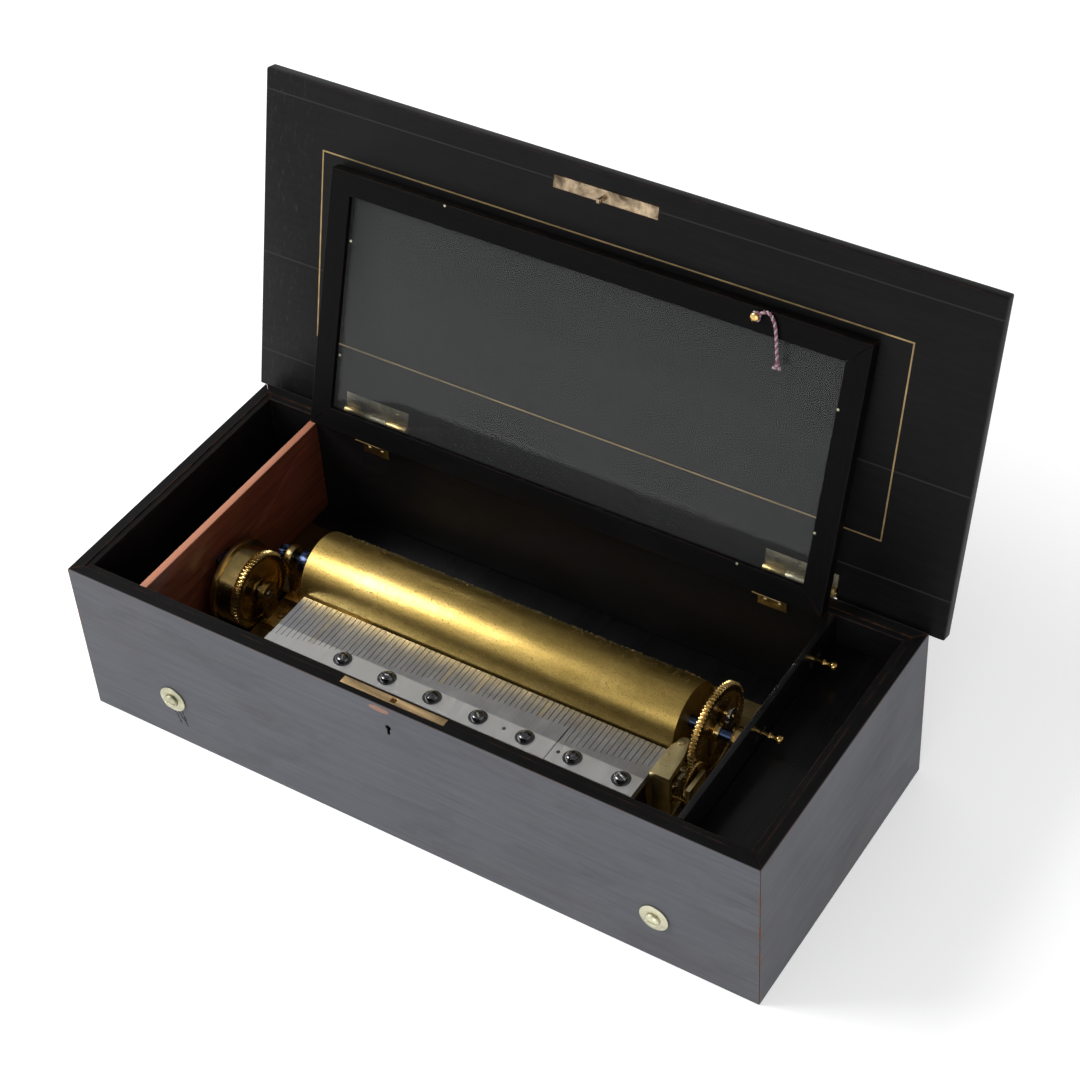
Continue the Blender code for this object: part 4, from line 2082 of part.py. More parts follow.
side_front_y = SECOND_AXIS[0] - SIDE_PLATE_MARGIN
side_plate = box(
    "governor_side_plate",
    (side_left, side_front_y, BED_SEAT),
    (side_left + SIDE_PLATE_THICKNESS, side_rear_y, BED_TOP + SIDE_PLATE_TOP),
    BRASS,
)
join(
    side_plate,
    box(
        "side_plate_foot",
        (SIDE_PLATE_X, side_front_y + SIDE_PLATE_FOOT_INSET, BED_SEAT),
        (
            side_left + SIDE_PLATE_THICKNESS + SIDE_PLATE_FOOT_LENGTH,
            side_rear_y - SIDE_PLATE_FOOT_INSET,
            BED_SEAT + BRACKET_FOOT_THICKNESS,
        ),
        cutter=True,
    ),
)
for name, axis_at in (("side_first_bore", FIRST_AXIS), ("side_second_bore", SECOND_AXIS)):
    cut(
        side_plate,
        rod(
            name,
            "X",
            at_yz(side_left - OVERRUN, axis_at),
            SIDE_PLATE_THICKNESS + 2 * OVERRUN,
            train_bore,
            steps=TINY_STEPS,
            cutter=True,
        ),
    )


def train_arbor(name, centre, left_face, right_face, material):
    """A thin arbor that runs in bores, with its pivots reaching through the faces given."""
    profile = [
        (0, right_face + SIDE_PLATE_THICKNESS),
        (TRAIN_PIVOT_RADIUS, right_face + SIDE_PLATE_THICKNESS),
        (TRAIN_PIVOT_RADIUS, right_face - RUNNING_GAP),
        (TRAIN_ARBOR_RADIUS, right_face - RUNNING_GAP),
        (TRAIN_ARBOR_RADIUS, left_face + RUNNING_GAP),
        (TRAIN_PIVOT_RADIUS, left_face + RUNNING_GAP),
        (TRAIN_PIVOT_RADIUS, left_face - GOVERNOR_CHEEK_THICKNESS),
        (0, left_face - GOVERNOR_CHEEK_THICKNESS),
    ]
    return turned(name, "X", at_yz(0, centre), profile, material, TINY_STEPS)


def gear_on(name, centre, x, teeth, module, turn, thickness):
    outline = gear_outline(teeth, module, turn)
    return plate(name, "X", at_yz(x, centre), [outline], thickness, cutter=True)


first_wheel_x = GREAT_WHEEL_RIGHT_X + FIRST_WHEEL_GAP + FIRST_WHEEL_THICKNESS / 2
cheek_right_face = cheek_left_x + GOVERNOR_CHEEK_THICKNESS
first_wheel = train_arbor("first_wheel", FIRST_AXIS, cheek_right_face, side_left, BRASS)
first_pinion_turn = angle_of(FIRST_DROP_DEG) + math.pi + math.pi / FIRST_PINION_TEETH
second_pinion_turn = angle_of(SECOND_DROP_DEG) + math.pi + math.pi / SECOND_PINION_TEETH
join(
    first_wheel,
    gear_on(
        "first_pinion",
        FIRST_AXIS,
        great_middle_x,
        FIRST_PINION_TEETH,
        GREAT_WHEEL_MODULE,
        first_pinion_turn,
        GREAT_WHEEL_THICKNESS,
    ),
    gear_on(
        "first_rim",
        FIRST_AXIS,
        first_wheel_x,
        FIRST_WHEEL_TEETH,
        FIRST_WHEEL_MODULE,
        angle_of(SECOND_DROP_DEG),
        FIRST_WHEEL_THICKNESS,
    ),
)
second_wheel = train_arbor(
    "second_wheel", SECOND_AXIS, gov_left + GOVERNOR_CHEEK_THICKNESS, side_left, POLISHED_STEEL
)
join(
    second_wheel,
    gear_on(
        "second_pinion",
        SECOND_AXIS,
        first_wheel_x,
        SECOND_PINION_TEETH,
        FIRST_WHEEL_MODULE,
        second_pinion_turn,
        FIRST_WHEEL_THICKNESS,
    ),
    gear_on(
        "second_rim",
        SECOND_AXIS,
        FLY_X,
        SECOND_WHEEL_TEETH,
        SECOND_WHEEL_MODULE,
        0.0,
        SECOND_WHEEL_THICKNESS,
    ),
)

# Fly: a spindle with a worm at the height of the second arbor and two vanes at its top
spindle_low = foot_top + SEAT_GAP
spindle_high = slab_low - SEAT_GAP
spindle = [
    (0, spindle_high + FLY_PIVOT_LENGTH),
    (FLY_PIVOT_RADIUS, spindle_high + FLY_PIVOT_LENGTH),
    (FLY_PIVOT_RADIUS, spindle_high),
    (FLY_SPINDLE_RADIUS, spindle_high),
    (FLY_SPINDLE_RADIUS, spindle_low),
    (FLY_PIVOT_RADIUS, spindle_low),
    (FLY_PIVOT_RADIUS, spindle_low - FLY_PIVOT_LENGTH),
    (0, spindle_low - FLY_PIVOT_LENGTH),
]
fly = turned("fly", "Z", (FLY_X, FLY_Y, 0), spindle, POLISHED_STEEL, TINY_STEPS)


def worm(name, centre, pitch, turns):
    """A single-start worm: an off-centre disc swept up its axis by a spin with a rise."""
    shape = bmesh.new()
    bmesh.ops.create_circle(shape, cap_ends=True, segments=WORM_SIDES, radius=WORM_RADIUS)
    bmesh.ops.translate(shape, vec=(WORM_THROW, 0, -pitch * turns / 2), verts=shape.verts)
    steps = round(turns * WORM_STEPS_PER_TURN)
    bmesh.ops.spin(
        shape,
        geom=shape.faces[:] + shape.edges[:] + shape.verts[:],
        cent=(0, 0, 0),
        axis=(0, 0, 1),
        dvec=(0, 0, pitch * turns / steps),
        angle=2 * math.pi * turns,
        steps=steps,
    )
    return put(name, finished_mesh(name, shape), None, Matrix.Translation(centre), True)


worm_pitch = math.pi * SECOND_WHEEL_MODULE
vane_high = slab_low - FLY_VANE_DROP
vane = box(
    "fly_vanes",
    (FLY_X - FLY_VANE_RADIUS, FLY_Y - FLY_VANE_THICKNESS / 2, vane_high - FLY_VANE_HEIGHT),
    (FLY_X + FLY_VANE_RADIUS, FLY_Y + FLY_VANE_THICKNESS / 2, vane_high),
    cutter=True,
)
vane.rotation_euler.z = math.radians(FLY_REST_DEG)
fly_hub = rod(
    "fly_hub",
    "Z",
    (FLY_X, FLY_Y, vane_high - FLY_VANE_HEIGHT - FLY_HUB_RADIUS),
    FLY_HUB_LENGTH,
    FLY_HUB_RADIUS,
    steps=TINY_STEPS,
    cutter=True,
)
join(fly, worm("fly_worm", (FLY_X, FLY_Y, SECOND_AXIS[1]), worm_pitch, WORM_LENGTH / worm_pitch), vane, fly_hub)

# Control levers on posts of the bedplate, their rods through the slots of the partition
post_right = LEVER_X - LEVER_THICKNESS / 2 - LEVER_POST_GAP
for name, lever_y in (("start_stop_lever", START_LEVER_Y), ("tune_change_lever", TUNE_LEVER_Y)):
    centre = (lever_y, LEVER_AXIS_Z)
    lever_outline = arc((0, 0), LEVER_BOSS_RADIUS, 170, 370, 8)
    lever_outline += arc((0, LEVER_ROD_HEIGHT), LEVER_TOP_RADIUS, 5, 175, 6)
    lever = as_mesh(
        plate(
            name,
            "X",
            at_yz(LEVER_X, centre),
            [lever_outline, circle(LEVER_STUD_RADIUS + RUNNING_GAP, TINY_STEPS)],
            LEVER_THICKNESS,
            BRASS,
        )
    )
    lever_rod = rod(
        name + "_rod",
        "X",
        (LEVER_X, lever_y, LEVER_ROD_Z),
        LEVER_KNOB_X - LEVER_X,
        LEVER_ROD_RADIUS,
        steps=TINY_STEPS,
        cutter=True,
    )
    lever_collar = rod(
        name + "_collar",
        "X",
        (LEVER_COLLAR_X - LEVER_COLLAR_LENGTH, lever_y, LEVER_ROD_Z),
        LEVER_COLLAR_LENGTH,
        LEVER_COLLAR_RADIUS,
        steps=TINY_STEPS,
        cutter=True,
    )
    knob = ball(name + "_knob", (LEVER_KNOB_X, lever_y, LEVER_ROD_Z), LEVER_KNOB_RADIUS, LOOP_STEPS)
    join(lever, lever_rod, lever_collar, knob)
    post = box(
        name + "_post",
        (
            post_right - LEVER_POST_LENGTH,
            lever_y - LEVER_POST_WIDTH / 2,
            BED_TOP - BED_EDGE_RADIUS,
        ),
        (post_right, lever_y + LEVER_POST_WIDTH / 2, LEVER_AXIS_Z + LEVER_POST_WIDTH / 2),
        cutter=True,
    )
    lever_stud = rod(
        name + "_stud",
        "X",
        (post_right - LEVER_POST_LENGTH / 2, lever_y, LEVER_AXIS_Z),
        LEVER_POST_LENGTH / 2 + LEVER_POST_GAP + LEVER_THICKNESS + LEVER_POST_GAP,
        LEVER_STUD_RADIUS,
        steps=TINY_STEPS,
        cutter=True,
    )
    join(bedplate, post, lever_stud)

swing("lid_axis", (0, LID_PIN_Y, LID_PIN_Z), LID_OPEN_DEG, lid_moving)
swing("glass_lid_axis", (0, GLASS_PIN_Y, GLASS_PIN_Z), GLASS_OPEN_DEG, glass_moving)
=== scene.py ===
"""A key-wound cylinder music box in an ebonised case, with its lid and its glass lid open."""

import json
import math
import random

import bpy
import numpy as np
from mathutils import Matrix, Vector

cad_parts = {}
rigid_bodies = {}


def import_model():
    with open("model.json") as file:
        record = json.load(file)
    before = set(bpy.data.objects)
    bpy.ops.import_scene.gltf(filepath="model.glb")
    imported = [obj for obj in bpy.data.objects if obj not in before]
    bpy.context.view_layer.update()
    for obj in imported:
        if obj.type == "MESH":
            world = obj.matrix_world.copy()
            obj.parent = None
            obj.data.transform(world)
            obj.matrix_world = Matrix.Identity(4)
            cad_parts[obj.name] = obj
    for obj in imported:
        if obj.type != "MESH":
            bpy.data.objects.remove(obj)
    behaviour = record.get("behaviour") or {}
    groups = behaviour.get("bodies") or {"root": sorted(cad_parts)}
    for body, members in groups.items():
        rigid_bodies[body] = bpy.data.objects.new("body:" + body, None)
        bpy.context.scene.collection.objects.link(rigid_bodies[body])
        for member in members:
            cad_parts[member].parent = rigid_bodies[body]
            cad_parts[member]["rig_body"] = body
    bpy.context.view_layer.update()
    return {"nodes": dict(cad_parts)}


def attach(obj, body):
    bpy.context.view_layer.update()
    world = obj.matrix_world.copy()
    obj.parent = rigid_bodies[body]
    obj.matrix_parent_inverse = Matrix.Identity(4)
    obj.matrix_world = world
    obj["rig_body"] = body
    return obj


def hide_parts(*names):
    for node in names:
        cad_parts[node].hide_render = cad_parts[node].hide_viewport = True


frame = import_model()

# The camera stands in front of the box, above it and to its right, as the photographer did.
# Its place, turn and lens were found from the corners of the case and of the lid.
CAMERA_PLACE = (0.66868, -0.89180, 1.19938)
CAMERA_TURN = (0.823394, 0.053263, 0.562067)
CAMERA_LENS = 83.388
camera_data = bpy.data.cameras.new("camera")
camera_data.lens = CAMERA_LENS
camera_data.sensor_width = 36
camera_data.sensor_fit = "HORIZONTAL"
camera = bpy.data.objects.new("camera", camera_data)
camera.location = CAMERA_PLACE
camera.rotation_euler = CAMERA_TURN
bpy.context.scene.collection.objects.link(camera)
bpy.context.scene.camera = camera

# The pull cord lifts the glass lid. It is a pink and a white cotton strand laid round each other,
# looped round a brass nail in the frame's front rail and ended in a knot, and it hangs down the pane.
CORD_NAIL = Vector((0.1125, -0.0853, 0.1100))
CORD_ROUTE = (
    (0.0018, -0.0016, 0.0),
    (0.0050, -0.0042, 0.0),
    (0.0090, -0.0038, 0.0),
    (0.0128, 0.0012, 0.0001),
    (0.0152, 0.0090, 0.0002),
    (0.0172, 0.0180, 0.0002),
    (0.0190, 0.0250, 0.0002),
)
STRAND_RADIUS = 0.00062
STRAND_OFFSET = 0.00056
STRAND_PITCH = 0.0040
NAIL_LOOP_RADIUS = 0.0024
KNOT_RADIUS = 0.0013
GLASS_PIN = Vector((0.0, 0.0916, 0.1195))
GLASS_OPEN_DEG = 108.6


def smooth_points(route, parts):
    """Points of a smooth curve through a route, with so many parts between two of its points."""
    route = [Vector(place) for place in route]
    ends = [2 * route[0] - route[1]] + route + [2 * route[-1] - route[-2]]
    points = []
    for before, start, end, after in zip(ends, ends[1:], ends[2:], ends[3:]):
        for part in range(parts):
            t = part / parts
            bend = 2 * before - 5 * start + 4 * end - after
            twist = 3 * start - before - 3 * end + after
            points.append((2 * start + (end - before) * t + bend * t**2 + twist * t**3) / 2)
    return points + [route[-1]]


def lean_back(pin, degrees):
    """The turn about a hinge's pin that takes a lid from closed to open."""
    return Matrix.Translation(pin) @ Matrix.Rotation(-math.radians(degrees), 4, "X") @ Matrix.Translation(-pin)


def new_material(name, **sockets):
    material = bpy.data.materials.new(name)
    material.use_nodes = True
    shader = material.node_tree.nodes["Principled BSDF"]
    for socket, value in sockets.items():
        shader.inputs[socket.replace("_", " ")].default_value = value
    return material


def add_node(material, kind, sockets=None, **settings):
    """A node with these settings, whose sockets take a value or another node's output."""
    node = material.node_tree.nodes.new("ShaderNode" + kind)
    for setting, value in settings.items():
        setattr(node, setting, value)
    for socket, value in (sockets or {}).items():
        if isinstance(value, bpy.types.NodeSocket):
            material.node_tree.links.new(value, node.inputs[socket])
        else:
            node.inputs[socket].default_value = value
    return node


def feed(material, **sockets):
    """Links outputs to the sockets of the material's shader."""
    shader = material.node_tree.nodes["Principled BSDF"]
    for socket, value in sockets.items():
        material.node_tree.links.new(value, shader.inputs[socket.replace("_", " ")])


def noise(material, stretch, detail=4.0, roughness=0.55, distortion=0.0):
    """Noise with so many cells in a metre along X, Y and Z of the object."""
    place = add_node(material, "TexCoord").outputs["Object"]
    mapped = add_node(material, "Mapping", {"Vector": place, "Scale": stretch})
    sockets = {"Vector": mapped.outputs[0], "Scale": 1.0, "Detail": detail, "Roughness": roughness}
    return add_node(material, "TexNoise", {**sockets, "Distortion": distortion}).outputs["Fac"]


def ramp(material, share, *stops):
    """Runs a share through stops, each (place, grey or colour)."""
    node = add_node(material, "ValToRGB", {"Fac": share})
    elements = node.color_ramp.elements
    while len(elements) < len(stops):
        elements.new(0.5)
    for element, (place, colour) in zip(elements, stops):
        element.position = place
        element.color = (*colour, 1.0) if isinstance(colour, tuple) else (colour, colour, colour, 1.0)
    return node.outputs["Color"]


def mixed(material, share, first, second, mode="MIX"):
    """Two colours or outputs mixed by a share."""
    node = add_node(material, "Mix", data_type="RGBA", blend_type=mode)
    for index, value in ((0, share), (6, first), (7, second)):
        if isinstance(value, bpy.types.NodeSocket):
            material.node_tree.links.new(value, node.inputs[index])
        else:
            node.inputs[index].default_value = (*value, 1.0) if isinstance(value, tuple) else value
    return node.outputs[2]


def sum_of(material, operation, first, second):
    node = add_node(material, "Math", operation=operation)
    for index, value in enumerate((first, second)):
        if isinstance(value, bpy.types.NodeSocket):
            material.node_tree.links.new(value, node.inputs[index])
        else:
            node.inputs[index].default_value = value
    return node.outputs[0]


def bump(material, height, distance, strength=1.0):
    node = add_node(material, "Bump", {"Height": height, "Distance": distance, "Strength": strength})
    feed(material, Normal=node.outputs[0])


def select_only(*pieces):
    for other in bpy.context.view_layer.objects:
        other.select_set(False)
    for piece in pieces:
        piece.select_set(True)
    bpy.context.view_layer.objects.active = pieces[-1]


def settle(piece, body, slot, *nodes):
    """Puts a finished piece on its body and hides the CAD nodes that it stands for; its finish, the slot, is not
    used.
    """
    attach(piece, body)
    if nodes:
        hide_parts(*nodes)
    return piece


def cotton(name, colour):
    material = new_material(name, Roughness=0.85, Specular_IOR_Level=0.2, Sheen_Weight=0.3)
    fibres = noise(material, (2600, 2600, 900), 3.0)
    shade = mixed(material, ramp(material, fibres, (0.3, 0.0), (0.7, 1.0)), tuple(c * 0.55 for c in colour), colour)
    feed(material, Base_Color=shade)
    bump(material, fibres, 0.0002)
    return material


COTTONS = (cotton("pink_cotton", (0.34, 0.10, 0.15)), cotton("white_cotton", (0.56, 0.48, 0.50)))


def twisted_cord(name, middle):
    """Two strands laid round each other along the points of a line."""
    strands = []
    for turn, cotton_material in enumerate(COTTONS):
        curve = bpy.data.curves.new(name + str(turn), "CURVE")
        curve.dimensions = "3D"
        curve.bevel_depth = STRAND_RADIUS
        curve.bevel_resolution = 2
        curve.use_fill_caps = True
        spline = curve.splines.new("POLY")
        spline.points.add(len(middle) - 1)
        run = 0.0
        for i, place in enumerate(middle):
            ahead = (middle[min(i + 1, len(middle) - 1)] - middle[max(i - 1, 0)]).normalized()
            run += (place - middle[i - 1]).length if i else 0.0
            side = ahead.cross(Vector((0, 0, 1)))
            side = (side if side.length > 0.1 else ahead.cross(Vector((0, 1, 0)))).normalized()
            angle = 2 * math.pi * run / STRAND_PITCH + math.pi * turn
            out = side * math.cos(angle) + ahead.cross(side) * math.sin(angle)
            spline.points[i].co = (*(place + out * STRAND_OFFSET), 1)
        strand = bpy.data.objects.new(name + str(turn), curve)
        bpy.context.scene.collection.objects.link(strand)
        strand.data.materials.append(cotton_material)
        select_only(strand)
        bpy.ops.object.convert(target="MESH")
        strands.append(strand)
    select_only(*strands)
    bpy.ops.object.join()
    cord = bpy.context.view_layer.objects.active
    cord.name = cord.data.name = name
    cord.data.transform(lean_back(GLASS_PIN, GLASS_OPEN_DEG))
    bpy.ops.object.shade_smooth_by_angle(angle=math.radians(50))
    return cord


cord_middle = [CORD_NAIL + Vector((right, down, -away)) for right, down, away in smooth_points(CORD_ROUTE, 14)]
cord_end = cord_middle[-1]
pull_cord = twisted_cord("twisted_cord", cord_middle)
nail_loop = twisted_cord(
    "cord_loop",
    [
        CORD_NAIL + Vector((math.cos(i / 8), math.sin(i / 8), 0.0)) * NAIL_LOOP_RADIUS
        for i in range(50)
    ],
)
knot = twisted_cord(
    "cord_knot",
    [
        cord_end
        + Vector((0, 0.0009, -0.0004))
        + KNOT_RADIUS
        * Vector((math.sin(t) + 0.6 * math.sin(2 * t), math.cos(t) - 0.6 * math.cos(2 * t), 0.7 * math.sin(3 * t)))
        for t in (2 * math.pi * i / 60 for i in range(61))
    ],
)
settle(pull_cord, "glass_lid", "cord", "pull_cord")
settle(nail_loop, "glass_lid", "cord")
settle(knot, "glass_lid", "cord")

# The nail that holds the cord: turned brass, driven into the front rail.
# Its CAD solid has the right shape and gets its edges rounded, as most metal pieces here do.
SMOOTH_DEG = 34


def brass(name, colour, roughness, blotch, tarnish, brushing=(300, 300, 300)):
    """Brass with cloudy tarnish, fine brushing and small scratches."""
    material = new_material(name, Metallic=1.0)
    cloud = noise(material, (55, 55, 55), 5.0, 0.62, 0.6)
    clouded = ramp(material, cloud, (0.5 - blotch / 2, tarnish), (0.5 + blotch / 2, colour))
    lines = noise(material, brushing, 3.0, 0.6)
    streaks = ramp(material, lines, (0.35, 0.0), (0.7, 0.22))
    streaked = mixed(material, streaks, clouded, tuple(c * 0.55 for c in colour))
    feed(material, Base_Color=streaked)
    rough = ramp(material, lines, (0.3, roughness * 0.75), (0.75, roughness * 1.35))
    feed(material, Roughness=rough)
    bump(material, lines, 0.00004)
    return material


def dressed(node, material, slot, edge=0.00015, parts=2, smooth_deg=SMOOTH_DEG):
    """A copy of a CAD solid with whole faces, rounded edges and its finish, in the solid's place."""
    piece = bpy.data.objects.new(node + "_finished", frame["nodes"][node].data.copy())
    bpy.context.scene.collection.objects.link(piece)
    select_only(piece)
    bpy.ops.mesh.customdata_custom_splitnormals_clear()
    bpy.ops.object.mode_set(mode="EDIT")
    bpy.ops.mesh.select_all(action="SELECT")
    bpy.ops.mesh.remove_doubles(threshold=0.000004)
    bpy.ops.mesh.dissolve_limited(angle_limit=math.radians(0.5))
    bpy.ops.mesh.select_all(action="SELECT")
    bpy.ops.mesh.normals_make_consistent(inside=False)
    bpy.ops.object.mode_set(mode="OBJECT")
    if edge:
        rounding = piece.modifiers.new("rounded_edges", "BEVEL")
        rounding.width = edge
        rounding.segments = parts
        rounding.limit_method = "ANGLE"
        rounding.angle_limit = math.radians(smooth_deg)
        bpy.ops.object.modifier_apply(modifier=rounding.name)
    bpy.ops.object.shade_smooth_by_angle(angle=math.radians(smooth_deg))
    piece.data.materials.clear()
    piece.data.materials.append(material)
    return settle(piece, frame["nodes"][node]["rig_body"], slot, node)


nail_brass = brass("nail_brass", (0.86, 0.58, 0.22), 0.22, 0.5, (0.55, 0.33, 0.10))
nail = dressed("cord_nail", nail_brass, "brass")

# The four sides of the case and its bottom: ebonised boards, mitred at the corners.
# Outside the black polish has greyed, and its colour there also holds a painted sheen of the
# white studio; it has worn to brown along the edges; on the rim and inside it is still deep black.
EBONY = (0.0032, 0.0029, 0.0030)
EBONY_LIGHT = (0.0072, 0.0064, 0.0064)
# The two outer greys are greyed polish with a painted sheen in them: they are lighter and bluer to stand in for the
# gloss that the boards' low specular level doesn't show.
FADED_SHEEN = (0.103, 0.106, 0.119)
FADED_SHEEN_LIGHT = (0.132, 0.136, 0.151)
EBONY_WORN = (0.20, 0.082, 0.042)
LONG_GRAIN = (14, 330, 330)
SHORT_GRAIN = (330, 14, 330)
CASE_HALF = (0.2494, 0.1054)
RIM_LOW = 0.1217
CRACKS = ((-0.1800, 0.0255, 0.35), (-0.1768, 0.0262, 0.55), (-0.1738, 0.0250, 0.2))
CRACK_HALF_WIDTH = 0.00035
CRACK_HALF_HEIGHT = 0.007
CRACK_WANDER = 0.004
RUBBED = (-0.0085, 0.1178, 0.0085, 0.0026)


def object_place(material):
    """The X, Y and Z of a point on the object, as outputs."""
    place = add_node(material, "TexCoord").outputs["Object"]
    return add_node(material, "SeparateXYZ", {"Vector": place}).outputs


def step(material, value, edge, width):
    """0 below an edge and 1 above it, over so wide a band."""
    span = {"Value": value, "From Min": edge, "From Max": edge + width}
    return add_node(material, "MapRange", span, clamp=True).outputs[0]


def worn_edges(material, radius, amount):
    """A share that is high along a piece's edges, in patches."""
    round_edge = add_node(material, "Bevel", {"Radius": radius}, samples=4).outputs[0]
    flat = add_node(material, "NewGeometry").outputs["Normal"]
    along = add_node(material, "VectorMath", operation="DOT_PRODUCT")
    material.node_tree.links.new(round_edge, along.inputs[0])
    material.node_tree.links.new(flat, along.inputs[1])
    edge = ramp(material, along.outputs["Value"], (0.86, 1.0), (0.985, 0.0))
    patches = ramp(material, noise(material, (55, 55, 55), 5.0, 0.7), (0.42, 0.0), (0.60, amount))
    return sum_of(material, "MULTIPLY", edge, patches)


def ebonised(name, grain, dark, light, roughness, wear=1.0, scuffs=0.3, gloss=0.24):
    """Black stained wood. The grain is the count of cells in a metre along X, Y and Z."""
    material = new_material(name, Specular_IOR_Level=gloss)
    figure = noise(material, grain, 6.0, 0.6, 0.35)
    pores = noise(material, tuple(g * 5 for g in grain), 3.0, 0.7)
    haze = noise(material, (9, 9, 9), 4.0, 0.6, 0.8)
    wood = ramp(material, figure, (0.30, dark), (0.72, light))
    pore_share = ramp(material, pores, (0.42, 0.45), (0.52, 0.0))
    wood = mixed(material, pore_share, wood, tuple(c * 0.35 for c in dark))
    dusty = ramp(material, haze, (0.52, 0.0), (0.80, scuffs))
    wood = mixed(material, dusty, wood, tuple(c * 2.4 for c in light))
    wood = mixed(material, worn_edges(material, 0.0011, wear), wood, EBONY_WORN)
    feed(material, Base_Color=wood)
    feed(material, Roughness=ramp(material, haze, (0.3, roughness), (0.75, roughness * 1.35)))
    height = sum_of(material, "ADD", figure, sum_of(material, "MULTIPLY", pores, 0.5))
    bump(material, height, 0.00008, 0.3)
    return material


def between(material, value, middle, half_width, fade):
    """1 within so far of a place and 0 beyond it."""
    off = sum_of(material, "ABSOLUTE", sum_of(material, "SUBTRACT", value, middle), 0.0)
    return sum_of(material, "SUBTRACT", 1.0, step(material, off, half_width, fade))


def weathered_with_sheen(material, grain, cracks=()):
    """Greys the outer faces of the case over its black, a grey that also holds a painted sheen. A cracked board is
    also rubbed above its keyhole.
    """
    shader = material.node_tree.nodes["Principled BSDF"]
    black = shader.inputs["Base Color"].links[0].from_socket
    x, y, z = object_place(material)[0:3]
    beyond_x = step(material, sum_of(material, "ABSOLUTE", x, 0.0), CASE_HALF[0], 0.0002)
    beyond_y = step(material, sum_of(material, "ABSOLUTE", y, 0.0), CASE_HALF[1], 0.0002)
    outside = sum_of(material, "MAXIMUM", beyond_x, beyond_y)
    under_rim = sum_of(material, "SUBTRACT", 1.0, step(material, z, RIM_LOW, 0.0004))
    outside = sum_of(material, "MULTIPLY", outside, under_rim)
    sheen_grain = noise(material, grain, 6.0, 0.62, 0.4)
    grey = ramp(material, sheen_grain, (0.30, FADED_SHEEN), (0.70, FADED_SHEEN_LIGHT))
    stains = ramp(material, noise(material, (14, 14, 40), 5.0, 0.65, 1.0), (0.50, 0.0), (0.72, 0.55))
    grey = mixed(material, stains, grey, tuple(c * 0.78 for c in FADED_SHEEN))
    red = ramp(material, noise(material, (7, 7, 30), 3.0, 0.6), (0.55, 0.0), (0.8, 0.30))
    grey = mixed(material, red, grey, (0.110, 0.078, 0.072))
    grey = mixed(material, worn_edges(material, 0.0016, 1.0), grey, EBONY_WORN)
    x_off = sum_of(material, "DIVIDE", sum_of(material, "SUBTRACT", x, RUBBED[0]), RUBBED[2])
    z_off = sum_of(material, "DIVIDE", sum_of(material, "SUBTRACT", z, RUBBED[1]), RUBBED[3])
    x_square, z_square = (sum_of(material, "MULTIPLY", off, off) for off in (x_off, z_off))
    away = sum_of(material, "ADD", x_square, z_square)
    ragged = sum_of(material, "ADD", away, noise(material, (400, 400, 400), 4.0, 0.7))
    rubbed = sum_of(material, "SUBTRACT", 1.0, step(material, ragged, 1.1, 0.25))
    grey = mixed(material, rubbed, grey, (0.34, 0.19, 0.14)) if cracks else grey
    # The outer faces take the grey, which is real greying plus a painted sheen.
    faded_with_sheen = mixed(material, outside, black, grey)
    for crack_x, crack_z, lean in cracks:
        jitter = sum_of(material, "SUBTRACT", noise(material, (260, 260, 260)), 0.5)
        slope = sum_of(material, "MULTIPLY", sum_of(material, "SUBTRACT", z, crack_z), lean)
        line = sum_of(material, "ADD", slope, sum_of(material, "MULTIPLY", jitter, CRACK_WANDER))
        near = between(material, sum_of(material, "ADD", x, line), crack_x, CRACK_HALF_WIDTH, 0.0003)
        near = sum_of(material, "MULTIPLY", near, between(material, z, crack_z, CRACK_HALF_HEIGHT, 0.003))
        faded_with_sheen = mixed(material, sum_of(material, "MULTIPLY", near, outside), faded_with_sheen, (0.002, 0.002, 0.002))
    feed(material, Base_Color=faded_with_sheen)
    return material


def coat(node, material):
    """A CAD node that keeps its shape gets its finish."""
    frame["nodes"][node].data.materials.clear()
    frame["nodes"][node].data.materials.append(material)


front_wood = ebonised("ebonised_front_board", LONG_GRAIN, EBONY, EBONY_LIGHT, 0.44, wear=0.35, gloss=0.12)
along_wood = ebonised("ebonised_long_boards", LONG_GRAIN, EBONY, EBONY_LIGHT, 0.44, wear=0.35, gloss=0.12)
across_wood = ebonised("ebonised_end_boards", SHORT_GRAIN, EBONY, EBONY_LIGHT, 0.42, wear=0.35, gloss=0.14)
weathered_with_sheen(front_wood, LONG_GRAIN, CRACKS)
weathered_with_sheen(along_wood, LONG_GRAIN)
weathered_with_sheen(across_wood, SHORT_GRAIN)
coat("case_front", front_wood)
for board in ("case_back", "case_bottom"):
    coat(board, along_wood)
for board in ("case_left", "case_right"):
    coat(board, across_wood)

# The partition of the key compartment is mahogany under a copper-red varnish.
# Above a height of 114.8 mm its colour turns much lighter, a pale red-brown, and its grain runs from front to back.
PARTITION_TOP = 0.1148
mahogany = new_material("mahogany", Specular_IOR_Level=0.4, Coat_Weight=0.35, Coat_Roughness=0.2)
mahogany_grain = noise(mahogany, (320, 16, 320), 7.0, 0.6, 0.5)
mahogany_patch = noise(mahogany, (30, 30, 30), 3.0)
mahogany_colour = ramp(
    mahogany,
    mahogany_grain,
    (0.28, (0.060, 0.014, 0.007)),
    (0.55, (0.135, 0.034, 0.016)),
    (0.8, (0.22, 0.062, 0.030)),
)
above = sum_of(mahogany, "SUBTRACT", object_place(mahogany)["Z"], PARTITION_TOP)
mahogany_top = ramp(mahogany, sum_of(mahogany, "MULTIPLY", above, 700.0), (0.1, 0.0), (0.7, 0.85))
mahogany_colour = mixed(mahogany, mahogany_top, mahogany_colour, (0.62, 0.26, 0.155))
feed(mahogany, Base_Color=mahogany_colour)
feed(mahogany, Roughness=ramp(mahogany, mahogany_patch, (0.3, 0.28), (0.7, 0.5)))
bump(mahogany, mahogany_grain, 0.00008, 0.5)
dressed("key_partition", mahogany, "mahogany", 0.0004, 2)

